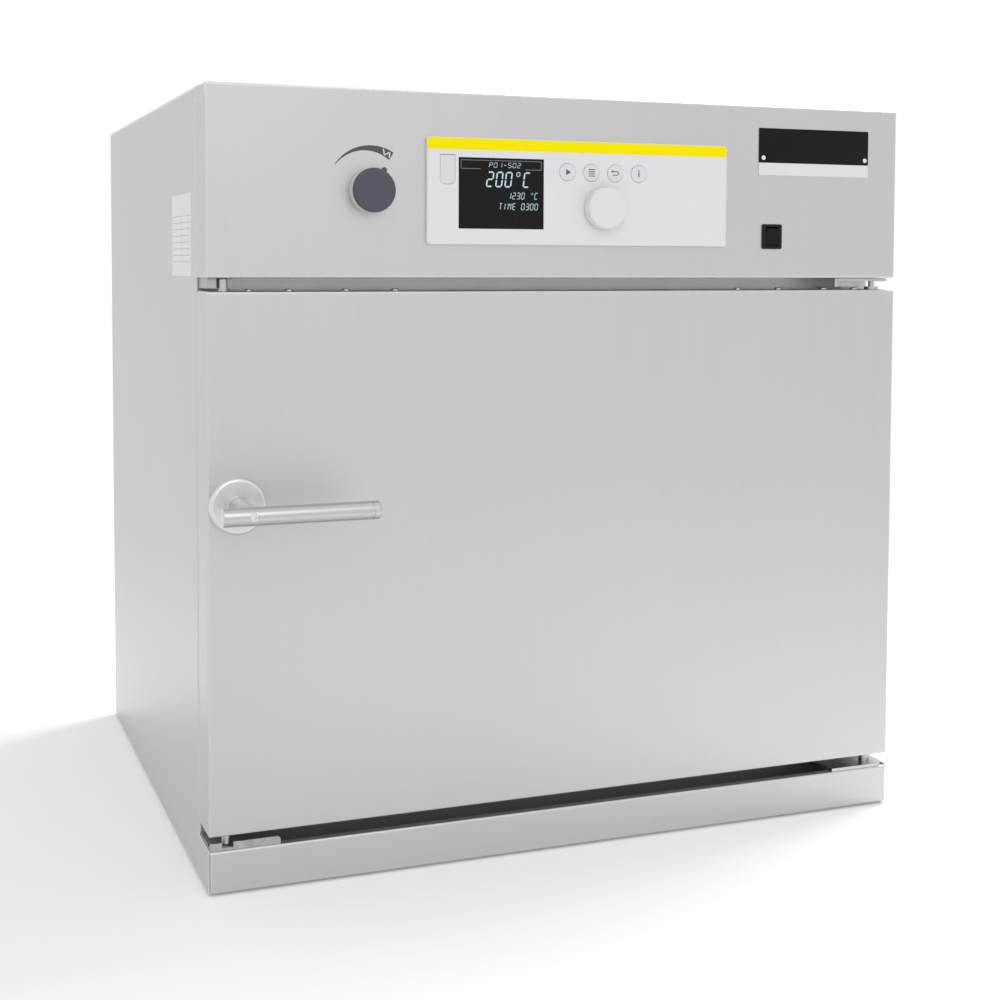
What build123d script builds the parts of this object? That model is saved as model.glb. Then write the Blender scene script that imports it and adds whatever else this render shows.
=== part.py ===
from build123d import *
import math
import os

# Laboratory drying oven, in millimetres. +Z is up and the door faces -Y.
# The origin is on the floor, below the middle of the whole oven with its handle and exhaust stub.
# Depths named "..._depth" or "..._setback" are counted from the front face of the door.

# Casing
width = 700.0
depth = 610.0
height = 710.0
sheet = 1.2
bend = 2.0
casing_setback = 48.5
side_flange = 36.0
rear_flange = 16.0
floor_gap = 2.0
base_height = 16.0
plinth_top = 39.5
plinth_lip = 8.0
step_top = 41.0
seam = 0.4

# Front frame and chamber
frame_sheet = 1.5
frame_half_width = 319.5
chamber_width = 450.0
chamber_height = 350.0
chamber_floor = 116.0
chamber_corner = 10.0
usable_depth = 390.0
plenum_depth = 50.0
liner_sheet = 1.2
baffle_gap = 0.3
insulation = 60.0
insulation_gap = 0.3

# Door
door_bottom = 52.5
door_top = 530.5
door_sheet = 1.5
door_return = 40.0
door_lip = 12.0
inner_panel_sheet = 1.0
inner_panel_inset = 3.0
inner_panel_rise = 4.0
inner_panel_margin = 5.0
gasket_width = 10.0
gasket_margin = 3.0
gasket_clearance = 0.3

# Hinges
hinge_side_inset = 16.0
hinge_depth = 17.0
pin_radius = 3.0
pin_fit = 0.06
pin_reach = 16.0
bush_radius = 5.0
bush_length = 20.0
bush_flange_radius = 7.0
bush_flange = 3.0
bracket_length = 63.0
bracket_sheet = 3.0
bracket_edge = 1.3
collar_radius = 5.5
thrust_gap = 0.3

# Door handle
handle_inset = 26.0
handle_height = 344.5
rosette_radius = 25.0
rosette_depth = 9.0
neck_radius = 8.0
lever_radius = 8.0
lever_reach = 65.0
lever_left = 25.5
lever_right = 110.0
lever_wall = 1.5
end_cap = 7.0
lever_screw_radius = 3.75

# Two-point lock
lock_depth = 10.0
lock_rod_inset = 17.0
lock_rod_radius = 4.0
rod_fit = 0.1
rod_end_gap = 0.3
slide_thickness = 8.0
slide_bar = 7.1
slide_clearance = 0.1
gear_module = 1.25
gear_teeth = 12
gear_backlash = 0.36
spindle_radius = 4.5
bridge_height = 36.0
bridge_thickness = 8.0
case_half_height = 50.0
case_wall = 2.0
guide_radius = 6.0
guide_length = 16.0
gear_tip_height = 1.0
gear_root_depth = 1.2
rack_tip_height = 0.85
slide_overlap = 8.0
spindle_grip = 18.0
keeper_slot = 5.0
keeper_ear = 9.0
keeper_lip = 7.0
end_plug = 2.0
lever_screw_shank = 2.5

# Controls
fascia_bottom = 542.0
fascia_top_return = 20.0
side_seam_drop = 11.0
controller_left = 199.0
controller_width = 305.0
controller_bottom = 572.5
controller_height = 97.0
controller_proud = 4.0
controller_wall = 2.5
controller_box_depth = 36.0
controller_lap = 7.0
display_left = 229.0
display_width = 83.5
display_bottom = 587.0
display_height = 64.5
button_first = 336.2
button_pitch = 24.4
button_height = 640.3
button_radius = 8.0
button_travel = 0.8
button_proud = 0.6
dial_left = 372.7
dial_height = 607.3
dial_radius = 19.5
dial_length = 11.0
dial_travel = 1.0
encoder_radius = 3.0
flap_left = 211.5
flap_width = 14.0
flap_top = 653.4
flap_height = 26.4
flap_sheet = 2.0
control_gap = 0.3
switch_left = 545.6
switch_width = 21.8
switch_bottom = 570.6
switch_height = 24.2
rocker_tilt = 7.0
rocker_half_width = 7.0
rocker_room = 9.5
rocker_pin = 1.0
rocker_depth = 2.0
switch_rim = 1.5
switch_proud = 1.8
usb_half_width = 2.9
usb_half_height = 6.6
flap_pin = 0.6

# Exhaust vent
vent_left = 147.0
vent_height = 619.7
knob_radius = 19.7
knob_length = 15.5
knob_pointer_angle = 27.0
vent_rod_radius = 4.0
duct_half = 47.0
duct_setback = 434.0
duct_sheet = 1.0
duct_pipe_radius = 22.0
port_setback = 461.0
port_offset = 8.0
valve_inset = 14.0
stub_radius = 40.0
stub_wall = 1.5
stub_neck_radius = 39.5
stub_shoulder = 2.0
stub_length = 50.0
valve_radius = 38.0
window_inner = 13.0
window_outer = 36.0
window_angle = 84.0

# Fan, heaters and sensor
fan_radius = 75.0
fan_width = 30.0
fan_sheet = 1.5
fan_blades = 24
fan_shaft_radius = 5.0
motor_radius = 42.0
motor_length = 42.0
heater_tube = 4.0
heater_elbow = 4.8
heater_radius = 98.0

# Shelf
rack_post = 12.0
rack_sheet = 2.0
rack_stand_off = 4.0
ledge_width = 16.0
ledge_levels = (175.0, 245.0, 315.0, 385.0)
shelf_level = 1
shelf_half_width = 214.0
shelf_rod = 2.5
shelf_wire = 1.5
shelf_brace = 2.0
shelf_wire_count = 19
shelf_front_gap = 21.0
shelf_corner = 12.0

# Feet, gland and fasteners
foot_radius = 17.0
foot_height = 9.0
foot_side_inset = 50.0
foot_front_inset = 75.0
foot_rear_inset = 55.0
foot_stem_radius = 5.0
gland_x = 250.0
gland_z = 75.0
gland_bore = 5.0
gland_length = 28.0
screw_radius = 3.6
screw_head = 2.0
edge_screw_depth = 12.5
edge_screw_insets = (40.0, 76.0, 128.0, 174.0)

# Places worked out from the sizes above
half = width / 2
handle_front = lever_reach + lever_radius
y_front = handle_front - (handle_front + depth + stub_length) / 2
y_back = y_front + depth
y_casing = y_front + casing_setback
y_frame = y_casing - frame_sheet
y_door_back = y_front + door_return
chamber_half = chamber_width / 2
chamber_top = chamber_floor + chamber_height
chamber_mid = chamber_floor + chamber_height / 2
y_baffle = y_frame + usable_depth
y_liner_back = y_baffle + plenum_depth
x_hinge = half - hinge_side_inset
y_hinge = y_front + hinge_depth
x_handle = handle_inset - half
x_rod = lock_rod_inset - half
y_lock = y_front + lock_depth
pitch_radius = gear_module * gear_teeth / 2
lock_travel = pitch_radius * math.pi / 2
x_vent = vent_left - half
compartment_floor = fascia_bottom + sheet
pin_bore = pin_radius + pin_fit
pressure_angle = math.radians(20)
tooth_pitch = math.pi * gear_module
slide_room = pitch_radius + gear_root_depth + slide_bar + 0.7
y_neck_end = y_front - rosette_depth + 3 - 0.3
y_dial_back = y_front - controller_proud - dial_travel - control_gap
y_flap_pivot = y_front - controller_proud + 0.1 + flap_sheet / 2
z_flap_pivot = flap_top - flap_sheet / 2
flap_x0 = flap_left - half
y_rocker = y_front + rocker_depth
y_duct = y_front + duct_setback
y_port = y_front + port_setback
x_port = x_vent + port_offset
y_valve = y_back - valve_inset
vent_disc_angle = 90 - knob_pointer_angle
y_motor = y_liner_back + liner_sheet + insulation_gap + insulation + 8


# Shapes used again and again

def block(x0, x1, y0, y1, z0, z1):
    """A box given by any two opposite corners."""
    return Pos((x0 + x1) / 2, (y0 + y1) / 2, (z0 + z1) / 2) * Box(abs(x1 - x0), abs(y1 - y0), abs(z1 - z0))


def round_y(x, z, radius, y0, y1):
    """A round bar along Y."""
    return Pos(x, (y0 + y1) / 2, z) * Rot(90, 0, 0) * Cylinder(radius, abs(y1 - y0))


def round_z(x, y, radius, z0, z1):
    """A round bar along Z."""
    return Pos(x, y, (z0 + z1) / 2) * Cylinder(radius, abs(z1 - z0))


def round_x(y, z, radius, x0, x1):
    """A round bar along X."""
    return Pos((x0 + x1) / 2, y, z) * Rot(0, 90, 0) * Cylinder(radius, abs(x1 - x0))


def front_plate(outline, y0, y1):
    """An outline drawn as (x, z), given a thickness from y0 to y1."""
    return extrude(Plane.XZ.offset(-y1) * outline, amount=y1 - y0)


def rounded(x0, x1, z0, z1, radius):
    """A rectangle with round corners, for front_plate."""
    return Pos((x0 + x1) / 2, (z0 + z1) / 2) * RectangleRounded(x1 - x0, z1 - z0, radius)


def along_y(solid):
    """The straight edges of a solid that run along Y."""
    return solid.edges().filter_by(Axis.Y)


def front_tray(x0, x1, y0, y1, z0, z1, thickness):
    """A folded tray: a front sheet with four returns, open at the back."""
    outer = block(x0, x1, y0, y1, z0, z1)
    outer = fillet(along_y(outer) + outer.edges().group_by(Axis.Y)[0], bend)
    inner = block(x0 + thickness, x1 - thickness, y0 + thickness, y1 + 1, z0 + thickness, z1 - thickness)
    inner = fillet(along_y(inner), bend - thickness / 2)
    return outer - inner


def edge_fillet(solid, axis, index, radius):
    """Round all the edges at one end of a solid: index 0 is the lowest, -1 the highest."""
    return fillet(solid.edges().group_by(axis)[index], radius)


# Casing

def side_panel(side):
    """One side of the casing, with its folded flanges and the step under the door."""
    x = half - sheet / 2
    y0 = y_casing + sheet / 2
    y1 = y_back - sheet * 1.5
    path = FilletPolyline(
        (half - side_flange, y0), (x, y0), (x, y1), (half - rear_flange, y1), radius=bend - sheet / 2
    )
    panel = Pos(0, 0, floor_gap) * extrude(trace(path, sheet), amount=height - sheet - floor_gap)
    step = block(half - sheet, half, y_front + bend, y_casing + bend, floor_gap, step_top)
    panel = panel + step
    return panel if side > 0 else mirror(panel, about=Plane.YZ)


def make_top_cover():
    """The lid of the casing, with a short tab at each side of the control fascia."""
    y0 = y_front + fascia_top_return + seam
    lid = block(-half, half, y0, y_back, height - sheet, height)
    lid = edge_fillet(lid, Axis.Z, -1, sheet * 0.6)
    inside = half - sheet - seam
    for side in (-1, 1):
        tab = (half - sheet) * side, half * side
        y_tab = y_front + bend + seam
        lid += block(min(tab), max(tab), y_tab, y_casing - seam, height - side_seam_drop, height - sheet * 0.9)
        flange = (inside - sheet) * side, inside * side
        lid += block(min(flange), max(flange), y_casing + 20, y_back - 20, height - 14, height - sheet * 0.9)
    return lid


def rear_screw_places():
    """Where the rear panel is screwed to the casing, as (x, z)."""
    x = half - rear_flange * 0.65
    sides = [(s * x, z) for s in (-1, 1) for z in (40, 200, 360, 520, 680)]
    return sides + [(x_mid, height - 10) for x_mid in (-120, 120)]


def make_rear_panel():
    """The back of the casing, with louvres for the motor and holes for the stub and the gland."""
    outline = rounded(-half + bend, half - bend, floor_gap + 1, height - sheet - seam, bend)
    outline -= Pos(x_vent, vent_height) * Circle(stub_neck_radius + 0.3)
    outline -= Pos(gland_x, gland_z) * Circle(gland_bore + 3.2)
    panel = front_plate(outline, y_back - sheet, y_back)
    for column in (-95, 0, 95):
        for row in range(7):
            z = chamber_mid - 60 + row * 20
            slot = front_plate(rounded(column - 38, column + 38, z - 3, z + 3, 2.9), y_back - 5, y_back + 1)
            panel -= slot
            hood = Pos(column, y_back, z + 3) * Rot(0, 90, 0) * Cylinder(4.5, 78)
            keep = block(column - 39, column + 39, y_back - 0.01, y_back + 4.5, z - 1.5, z + 7.5)
            panel += (hood & keep) - Pos(column, y_back, z + 3) * Rot(0, 90, 0) * Cylinder(3.5, 76)
    return panel


def make_base_panel():
    """The floor of the casing: a shallow tray that carries the feet."""
    x = half - sheet - seam
    y1 = y_back - 2 * sheet - seam
    base = block(-x, x, y_casing + sheet + seam, y1, base_height - sheet * 2, base_height)
    for px, py in foot_places():
        base += round_z(px, py, foot_radius, foot_height + 3, base_height)
        base -= round_z(px, py, foot_stem_radius + 0.1, 0, base_height + 1)
    return base


def foot_places():
    """The centres of the four feet."""
    x = half - foot_side_inset
    return [(sx * x, y) for sx in (-1, 1) for y in (y_front + foot_front_inset, y_back - foot_rear_inset)]


def make_levelling_feet():
    """Four screw feet: a rubber-soled pad, its lock nut and a stem."""
    feet = []
    for px, py in foot_places():
        pad = round_z(px, py, foot_radius, 0, foot_height)
        pad = edge_fillet(pad, Axis.Z, 0, 1.5)
        pad = edge_fillet(pad, Axis.Z, -1, 2.5)
        nut = Pos(px, py, foot_height) * extrude(RegularPolygon(8.5, 6), amount=3)
        stem = round_z(px, py, foot_stem_radius, foot_height, base_height + 14)
        feet.append(pad + nut + stem)
    return Compound(children=feet)


def make_front_plinth():
    """The kick plate under the door, folded back at its top."""
    y0 = y_front + sheet / 2
    z0 = floor_gap + sheet / 2
    z1 = plinth_top - sheet / 2
    path = FilletPolyline(
        (y_casing - 1, z0), (y0, z0), (y0, z1), (y_front + plinth_lip, z1), radius=bend - sheet / 2
    )
    profile = trace(path, sheet)
    x = half - sheet - 0.1
    return extrude(Plane.YZ.offset(-x) * profile, amount=2 * x)


def make_front_frame():
    """The plate around the chamber's mouth that the door closes on."""
    outline = rounded(-frame_half_width, frame_half_width, base_height, fascia_bottom - seam, 3)
    outline -= rounded(-chamber_half, chamber_half, chamber_floor, chamber_top, chamber_corner)
    plate = front_plate(outline, y_frame, y_casing)
    margin = chamber_half + gasket_margin + gasket_width + 4
    rise = margin - chamber_half
    ridge = rounded(-margin, margin, chamber_floor - rise, chamber_top + rise, 18)
    ridge -= offset(ridge, -2)
    return plate + front_plate(ridge, y_frame - 1.5, y_frame)


def make_chamber_liner():
    """The stainless box that is heated, open at the front."""
    t = liner_sheet
    outer = block(-chamber_half - t, chamber_half + t, y_casing, y_liner_back + t, chamber_floor - t, chamber_top + t)
    outer = fillet(along_y(outer), chamber_corner + t)
    inner = block(-chamber_half, chamber_half, y_casing - 1, y_liner_back, chamber_floor, chamber_top)
    inner = fillet(along_y(inner), chamber_corner)
    liner = outer - inner
    liner -= round_y(0, chamber_mid, fan_shaft_radius + 2, y_liner_back - 5, y_liner_back + 5)
    liner -= round_z(x_port, y_port, duct_pipe_radius - duct_sheet, chamber_top - 5, chamber_top + 5)
    for x, z in heater_leads() + [sensor_place()]:
        liner -= round_y(x, z, heater_tube + 0.3, y_liner_back - 5, y_liner_back + 5)
    return liner


def make_wrap_insulation():
    """Mineral wool slabs on the four sides of the liner, butted at the corners."""
    g = insulation_gap
    x0 = chamber_half + liner_sheet + g
    z0 = chamber_floor - liner_sheet - g
    z1 = chamber_top + liner_sheet + g
    y0 = y_casing + g
    y1 = y_liner_back + liner_sheet
    top = block(-x0 - insulation, x0 + insulation, y0, y1, z1, z1 + insulation)
    top -= round_z(x_port, y_port, duct_pipe_radius + 0.5, z1 - 1, z1 + insulation + 1)
    slabs = [top, block(-x0 - insulation, x0 + insulation, y0, y1, z0 - insulation, z0)]
    for side in (-1, 1):
        xs = sorted((side * x0, side * (x0 + insulation)))
        slabs.append(block(xs[0], xs[1], y0, y1, z0 + g, z1 - g))
    return Compound(children=slabs)


def make_rear_insulation():
    """The slab behind the liner, with a way through for the shaft, heater ends and sensor."""
    g = insulation_gap
    x = chamber_half + liner_sheet + g + insulation
    z0 = chamber_floor - liner_sheet - g - insulation
    z1 = chamber_top + liner_sheet + g + insulation
    y0 = y_liner_back + liner_sheet + g
    slab = block(-x, x, y0, y0 + insulation, z0, z1)
    slab -= round_y(0, chamber_mid, fan_shaft_radius + 3, y0 - 1, y0 + insulation + 1)
    for px, pz in heater_leads() + [sensor_place()]:
        slab -= round_y(px, pz, heater_tube + 0.5, y0 - 1, y0 + insulation + 1)
    return slab


def make_component_tray():
    """The floor of the electrical compartment above the chamber."""
    x = half - sheet - seam
    y1 = y_back - 2 * sheet - seam
    tray = block(-x, x, y_casing + sheet + seam, y1, compartment_floor, compartment_floor + sheet)
    for side in (-1, 1):
        xs = sorted((side * (x - sheet), side * x))
        tray += block(xs[0], xs[1], y_casing + 30, y_back - 30, compartment_floor, compartment_floor + 14)
    return tray - round_z(x_port, y_port, duct_pipe_radius + 0.4, compartment_floor - 1, compartment_floor + 3)


def make_door_gasket():
    """The silicone seal that stands on the front frame around the chamber's mouth."""
    inner = gasket_margin
    outer = gasket_margin + gasket_width
    ring = rounded(-chamber_half - outer, chamber_half + outer, chamber_floor - outer, chamber_top + outer, 16)
    ring -= rounded(-chamber_half - inner, chamber_half + inner, chamber_floor - inner, chamber_top + inner, 8)
    front = y_door_back + inner_panel_sheet + gasket_clearance
    gasket = front_plate(ring, front, y_frame)
    return edge_fillet(gasket, Axis.Y, 0, 2.0)


def make_control_fascia():
    """The folded front above the door, cut out for the controls."""
    fascia = front_tray(-half, half, y_front, y_casing - seam, fascia_bottom, height, sheet)
    for side in (-1, 1):
        xs = sorted((side * (half - bend), side * (half + 1)))
        fascia -= block(xs[0], xs[1], y_front + bend, y_casing, height - side_seam_drop - seam, height + 1)
    fascia -= block(-half - 1, half + 1, y_front + fascia_top_return, y_casing, height - 4, height + 1)
    x0 = controller_left + controller_lap - half
    x1 = controller_left + controller_width - controller_lap - half
    z0 = controller_bottom + controller_lap
    z1 = controller_bottom + controller_height - controller_lap
    fascia -= block(x0 - seam, x1 + seam, y_front - 1, y_front + 5, z0 - seam, z1 + seam)
    fascia -= round_y(x_vent, vent_height, vent_rod_radius + rod_fit, y_front - 1, y_front + 5)
    sx0, sx1, sz0, sz1 = switch_body()
    return fascia - block(sx0 - 0.2, sx1 + 0.2, y_front - 1, y_front + 5, sz0 - 0.2, sz1 + 0.2)


# Door

def make_door_skin():
    """The outer door: a folded tray whose inner lips carry the inner panel."""
    skin = front_tray(-half, half, y_front, y_door_back, door_bottom, door_top, door_sheet)
    t = door_sheet
    lips = rounded(-half + t * 0.5, half - t * 0.5, door_bottom + t * 0.5, door_top - t * 0.5, 1)
    lips -= rounded(-half + door_lip, half - door_lip, door_bottom + door_lip, door_top - door_lip, 2)
    skin += front_plate(lips, y_door_back - sheet, y_door_back)
    skin -= round_y(x_handle, handle_height, spindle_radius + 1, y_front - 1, y_front + 3)
    for z in (door_bottom, door_top):
        skin -= round_z(x_hinge, y_hinge, bush_radius + 0.05, z - 4, z + 4)
        skin -= round_z(x_rod, y_lock, guide_radius + 0.05, z - 4, z + 4)
    return skin


def make_door_inner_panel():
    """The stainless panel that faces the chamber, pressed out in its middle."""
    inset = inner_panel_inset
    plate = rounded(-half + inset, half - inset, door_bottom + inset, door_top - inset, 3)
    y0 = y_door_back
    y1 = y_door_back + inner_panel_sheet
    x = chamber_half - inner_panel_margin
    z0 = chamber_floor + inner_panel_margin
    z1 = chamber_top - inner_panel_margin
    raised = front_plate(rounded(-x, x, z0, z1, 12), y0, y1 + inner_panel_rise)
    raised = fillet(raised.edges().group_by(Axis.Y)[-1], 3)
    hollow = front_plate(rounded(-x + 1, x - 1, z0 + 1, z1 - 1, 11), y0 - 1, y1 + inner_panel_rise - 1)
    return front_plate(plate, y0, y1) + raised - hollow


def make_door_insulation():
    """The wool slab in the door, clear of the lock on the left and the bushes on the right."""
    x0 = x_handle + slide_room + case_wall + 4
    x1 = x_hinge - bush_radius - 3
    y0 = y_front + door_sheet + 0.3
    y1 = y_door_back - sheet - 0.3
    return block(x0, x1, y0, y1, door_bottom + door_sheet + 0.5, door_top - door_sheet - 0.5)


def make_hinge_bushes():
    """The flanged bushes in the top and bottom edges of the door."""
    bushes = []
    for z, up in ((door_top, 1), (door_bottom, -1)):
        body = round_z(x_hinge, y_hinge, bush_radius, z - up * bush_length, z)
        flange = round_z(x_hinge, y_hinge, bush_flange_radius, z, z + up * bush_flange)
        collar = round_z(x_hinge, y_hinge, bush_flange_radius, z - up * 6, z - up * (door_sheet + 0.05))
        bore = round_z(x_hinge, y_hinge, pin_bore, z - up * (pin_reach + 2), z + up * 8)
        bushes.append(body + flange + collar - bore)
    return Compound(children=bushes)


def make_upper_hinge_bracket():
    """The bracket under the fascia, with the upper hinge pin."""
    x1 = half - bracket_edge
    x0 = x1 - bracket_length
    z1 = fascia_bottom - 0.2
    plate = block(x0, x1, y_front + 9, y_frame, z1 - bracket_sheet, z1)
    plate = fillet(plate.edges().filter_by(Axis.Z).group_by(Axis.X)[-1], 4)
    z_web = door_top + screw_head + 0.6
    web = block(x0, x_hinge - 10, y_front + 24, y_front + 24 + bracket_sheet, z_web, z1)
    cheek = block(x0, x0 + bracket_sheet, y_front + 9, y_frame, z_web, z1)
    foot = block(x0, x_hinge - 30, y_frame - bracket_sheet, y_frame, z_web, z1)
    pin = round_z(x_hinge, y_hinge, pin_radius, door_top - pin_reach, z1)
    return plate + web + cheek + foot + pin


def make_lower_hinge_bracket():
    """The bracket on the plinth that carries the door's weight on a shouldered pin."""
    x1 = half - bracket_edge
    x0 = x1 - bracket_length
    z0 = plinth_top
    plate = block(x0, x1, y_front + 1.5, y_frame, z0, z0 + bracket_sheet)
    plate = chamfer(plate.edges().filter_by(Axis.Z).group_by(Axis.X)[-1].group_by(Axis.Y)[0], 6)
    back = block(x0, x1, y_frame - bracket_sheet, y_frame, z0, door_bottom - 1)
    collar = round_z(x_hinge, y_hinge, collar_radius, z0, door_bottom - bush_flange - thrust_gap)
    pin = round_z(x_hinge, y_hinge, pin_radius, z0, door_bottom + pin_reach)
    return plate + back + collar + pin


def edge_screw_places():
    """The screws in the door's top and bottom edges, as (x, y)."""
    y = y_front + edge_screw_depth
    left = [inset - half for inset in edge_screw_insets]
    return [(s * x, y) for s in (-1, 1) for x in left]


def make_door_screws():
    """Pan-head screws that hold the folded edges of the door."""
    screws = []
    for z, up in ((door_top, 1), (door_bottom, -1)):
        for x, y in edge_screw_places():
            head = round_z(x, y, screw_radius, z, z + up * screw_head)
            screws.append(edge_fillet(head, Axis.Z, -1 if up > 0 else 0, 1.2))
    return Compound(children=screws)


def make_handle_rosette():
    """The turned plate that the handle's neck runs in."""
    rosette = round_y(x_handle, handle_height, rosette_radius, y_front - rosette_depth, y_front)
    rosette = edge_fillet(rosette, Axis.Y, 0, 3.5)
    bore = round_y(x_handle, handle_height, spindle_radius + pin_fit, y_front - 20, y_front + 5)
    seat = round_y(x_handle, handle_height, neck_radius + 0.1, y_front - 20, y_front - rosette_depth + 3)
    return rosette - bore - seat


# Two-point lock

def gear_outline():
    """The pinion's outline: involute flanks on radial roots, with a tooth pointing along +X."""
    base = pitch_radius * math.cos(pressure_angle)
    involute = math.tan(pressure_angle) - pressure_angle
    half_tooth = (tooth_pitch / 2 - gear_backlash / 2) / (2 * pitch_radius)
    root = pitch_radius - gear_root_depth
    tip = pitch_radius + gear_tip_height
    flank = [(root, half_tooth + involute)]
    for step in range(5):
        radius = base + (tip - base) * step / 4
        angle = math.acos(min(1.0, base / radius))
        flank.append((radius, half_tooth + involute - (math.tan(angle) - angle)))
    points = []
    for tooth in range(gear_teeth):
        middle = 2 * math.pi * tooth / gear_teeth
        sides = [(r, middle - a) for r, a in flank] + [(r, middle + a) for r, a in reversed(flank)]
        points += [(r * math.cos(a), r * math.sin(a)) for r, a in sides]
    return make_face(Polyline(*points, close=True))


def rack_outline(x_pitch, toward, z0, z1):
    """A toothed bar between z0 and z1, with its teeth pointing toward +X or -X."""
    root = x_pitch - toward * gear_root_depth
    back = root - toward * slide_bar
    tip = x_pitch + toward * rack_tip_height
    outline = Pos((root + back) / 2, (z0 + z1) / 2) * Rectangle(slide_bar, z1 - z0)
    at_pitch = tooth_pitch / 4 - gear_backlash / 4
    at_tip = at_pitch - rack_tip_height * math.tan(pressure_angle)
    at_root = at_pitch + gear_root_depth * math.tan(pressure_angle)
    for number in range(-8, 8):
        z = handle_height + (number + 0.5) * tooth_pitch
        if z0 + at_root < z < z1 - at_root:
            corners = [(root - toward * 0.1, z - at_root), (tip, z - at_tip), (tip, z + at_tip),
                       (root - toward * 0.1, z + at_root)]
            outline += make_face(Polyline(*corners, close=True))
    return outline


def lock_slide(up):
    """A toothed slide, its bridge and its rod: up is 1 for the upper one and -1 for the lower."""
    x_pitch = x_handle + up * pitch_radius
    back = x_pitch + up * (gear_root_depth + slide_bar)
    ends = sorted((handle_height - up * slide_overlap, handle_height + up * (bridge_height + bridge_thickness)))
    outline = rack_outline(x_pitch, -up, ends[0], ends[1])
    xs = sorted((back, x_rod - up * lock_rod_radius))
    z0 = min(up * bridge_height, up * (bridge_height + bridge_thickness)) + handle_height
    bridge = Pos((xs[0] + xs[1]) / 2, z0 + bridge_thickness / 2) * Rectangle(xs[1] - xs[0], bridge_thickness)
    slide = front_plate(outline + bridge, y_lock - slide_thickness / 2, y_lock + slide_thickness / 2)
    end = fascia_bottom - rod_end_gap if up > 0 else plinth_top + bracket_sheet + rod_end_gap
    zs = sorted((handle_height + up * (bridge_height + 1), end))
    rod = round_z(x_rod, y_lock, lock_rod_radius, zs[0], zs[1])
    rod = edge_fillet(rod, Axis.Z, -1 if up > 0 else 0, 1.0)
    return slide + rod


def make_lock_pinion():
    """The spindle that the handle turns, with the pinion cut on it."""
    gear = front_plate(Pos(x_handle, handle_height) * gear_outline(),
                       y_lock - slide_thickness / 2, y_lock + slide_thickness / 2)
    y0 = y_neck_end - spindle_grip
    y1 = y_lock + slide_thickness / 2 + slide_clearance + case_wall
    return gear + round_y(x_handle, handle_height, spindle_radius, y0, y1)


def make_lock_case():
    """The case inside the door that guides the two slides and carries the spindle."""
    cavity_back = y_lock + slide_thickness / 2 + slide_clearance
    x0, x1 = x_handle - slide_room, x_handle + slide_room
    z0, z1 = handle_height - case_half_height, handle_height + case_half_height
    w = case_wall
    case = block(x0 - w, x1 + w, y_front + door_sheet, cavity_back + w, z0, z1)
    case = fillet(along_y(case), 4)
    case -= block(x0, x1, y_lock - slide_thickness / 2 - slide_clearance, cavity_back, z0 + w, z1 - w)
    case -= round_z(x_rod, y_lock, lock_rod_radius + rod_fit, z0 - 1, z1 + 1)
    return case - round_y(x_handle, handle_height, spindle_radius + pin_fit, y_front, cavity_back + w + 1)


def make_rod_guides():
    """The two nylon guides that the lock rods leave the door through."""
    guides = []
    for z, inward in ((door_top, -1), (door_bottom, 1)):
        ends = sorted((z, z + inward * guide_length))
        guide = round_z(x_rod, y_lock, guide_radius, ends[0], ends[1])
        collar_ends = sorted((z + inward * (door_sheet + 0.05), z + inward * 5))
        guide += round_z(x_rod, y_lock, guide_radius + 1.5, collar_ends[0], collar_ends[1])
        guides.append(guide - round_z(x_rod, y_lock, lock_rod_radius + rod_fit, ends[0] - 1, ends[1] + 1))
    return Compound(children=guides)


def make_upper_keeper():
    """The keeper beside and behind the upper rod, screwed to the front frame."""
    z0 = door_top + screw_head + 0.5
    z1 = fascia_bottom - 0.2
    x0 = x_rod - keeper_slot - keeper_ear
    ear = block(x0, x_rod - keeper_slot, y_lock - 2, y_frame, z0, z1)
    back = block(x0, x_rod + keeper_slot + 2, y_lock + lock_rod_radius + 1, y_frame, z0, z1)
    keeper = ear + back
    return fillet(keeper.edges().filter_by(Axis.Z).group_by(Axis.Y)[0], 2)


def make_lower_keeper():
    """The keeper on the plinth: a folded lip with a slot for the lower rod."""
    x0 = -half + bracket_edge
    z0 = plinth_top
    plate = block(x0, x0 + bracket_length, y_front + 1.5, y_frame, z0, z0 + bracket_sheet - 0.5)
    lip = block(x0, x0 + bracket_length, y_front + 1.5, y_front + 4.5, z0, z0 + keeper_lip)
    lip = fillet(along_y(lip).group_by(Axis.Z)[-1], 3)
    back = block(x0, x0 + bracket_length, y_frame - bracket_sheet, y_frame, z0, door_bottom - 1)
    slot = block(x_rod - keeper_slot, x_rod + keeper_slot, y_front, y_front + 5, z0 + bracket_sheet - 0.5, z0 + 12)
    return plate + lip + back - slot


def make_handle_lever():
    """The tubular lever and the neck that joins it to the spindle."""
    y = y_front - lever_reach
    x0 = x_handle - lever_left + end_plug
    x1 = x_handle + lever_right - end_cap
    lever = round_x(y, handle_height, lever_radius, x0, x1)
    lever += round_y(x_handle, handle_height, neck_radius, y, y_neck_end)
    lever -= round_x(y, handle_height, lever_radius - lever_wall, x0 - 1, x1 + 1)
    lever -= round_y(x_handle, handle_height, spindle_radius, y_neck_end - spindle_grip, y_neck_end + 1)
    head_seat = y_front - handle_front + 3
    lever -= round_y(x_handle, handle_height, lever_screw_radius, y_front - handle_front - 1, head_seat)
    return lever - round_y(x_handle, handle_height, lever_screw_shank, y, y + lever_radius + 12)


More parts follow.
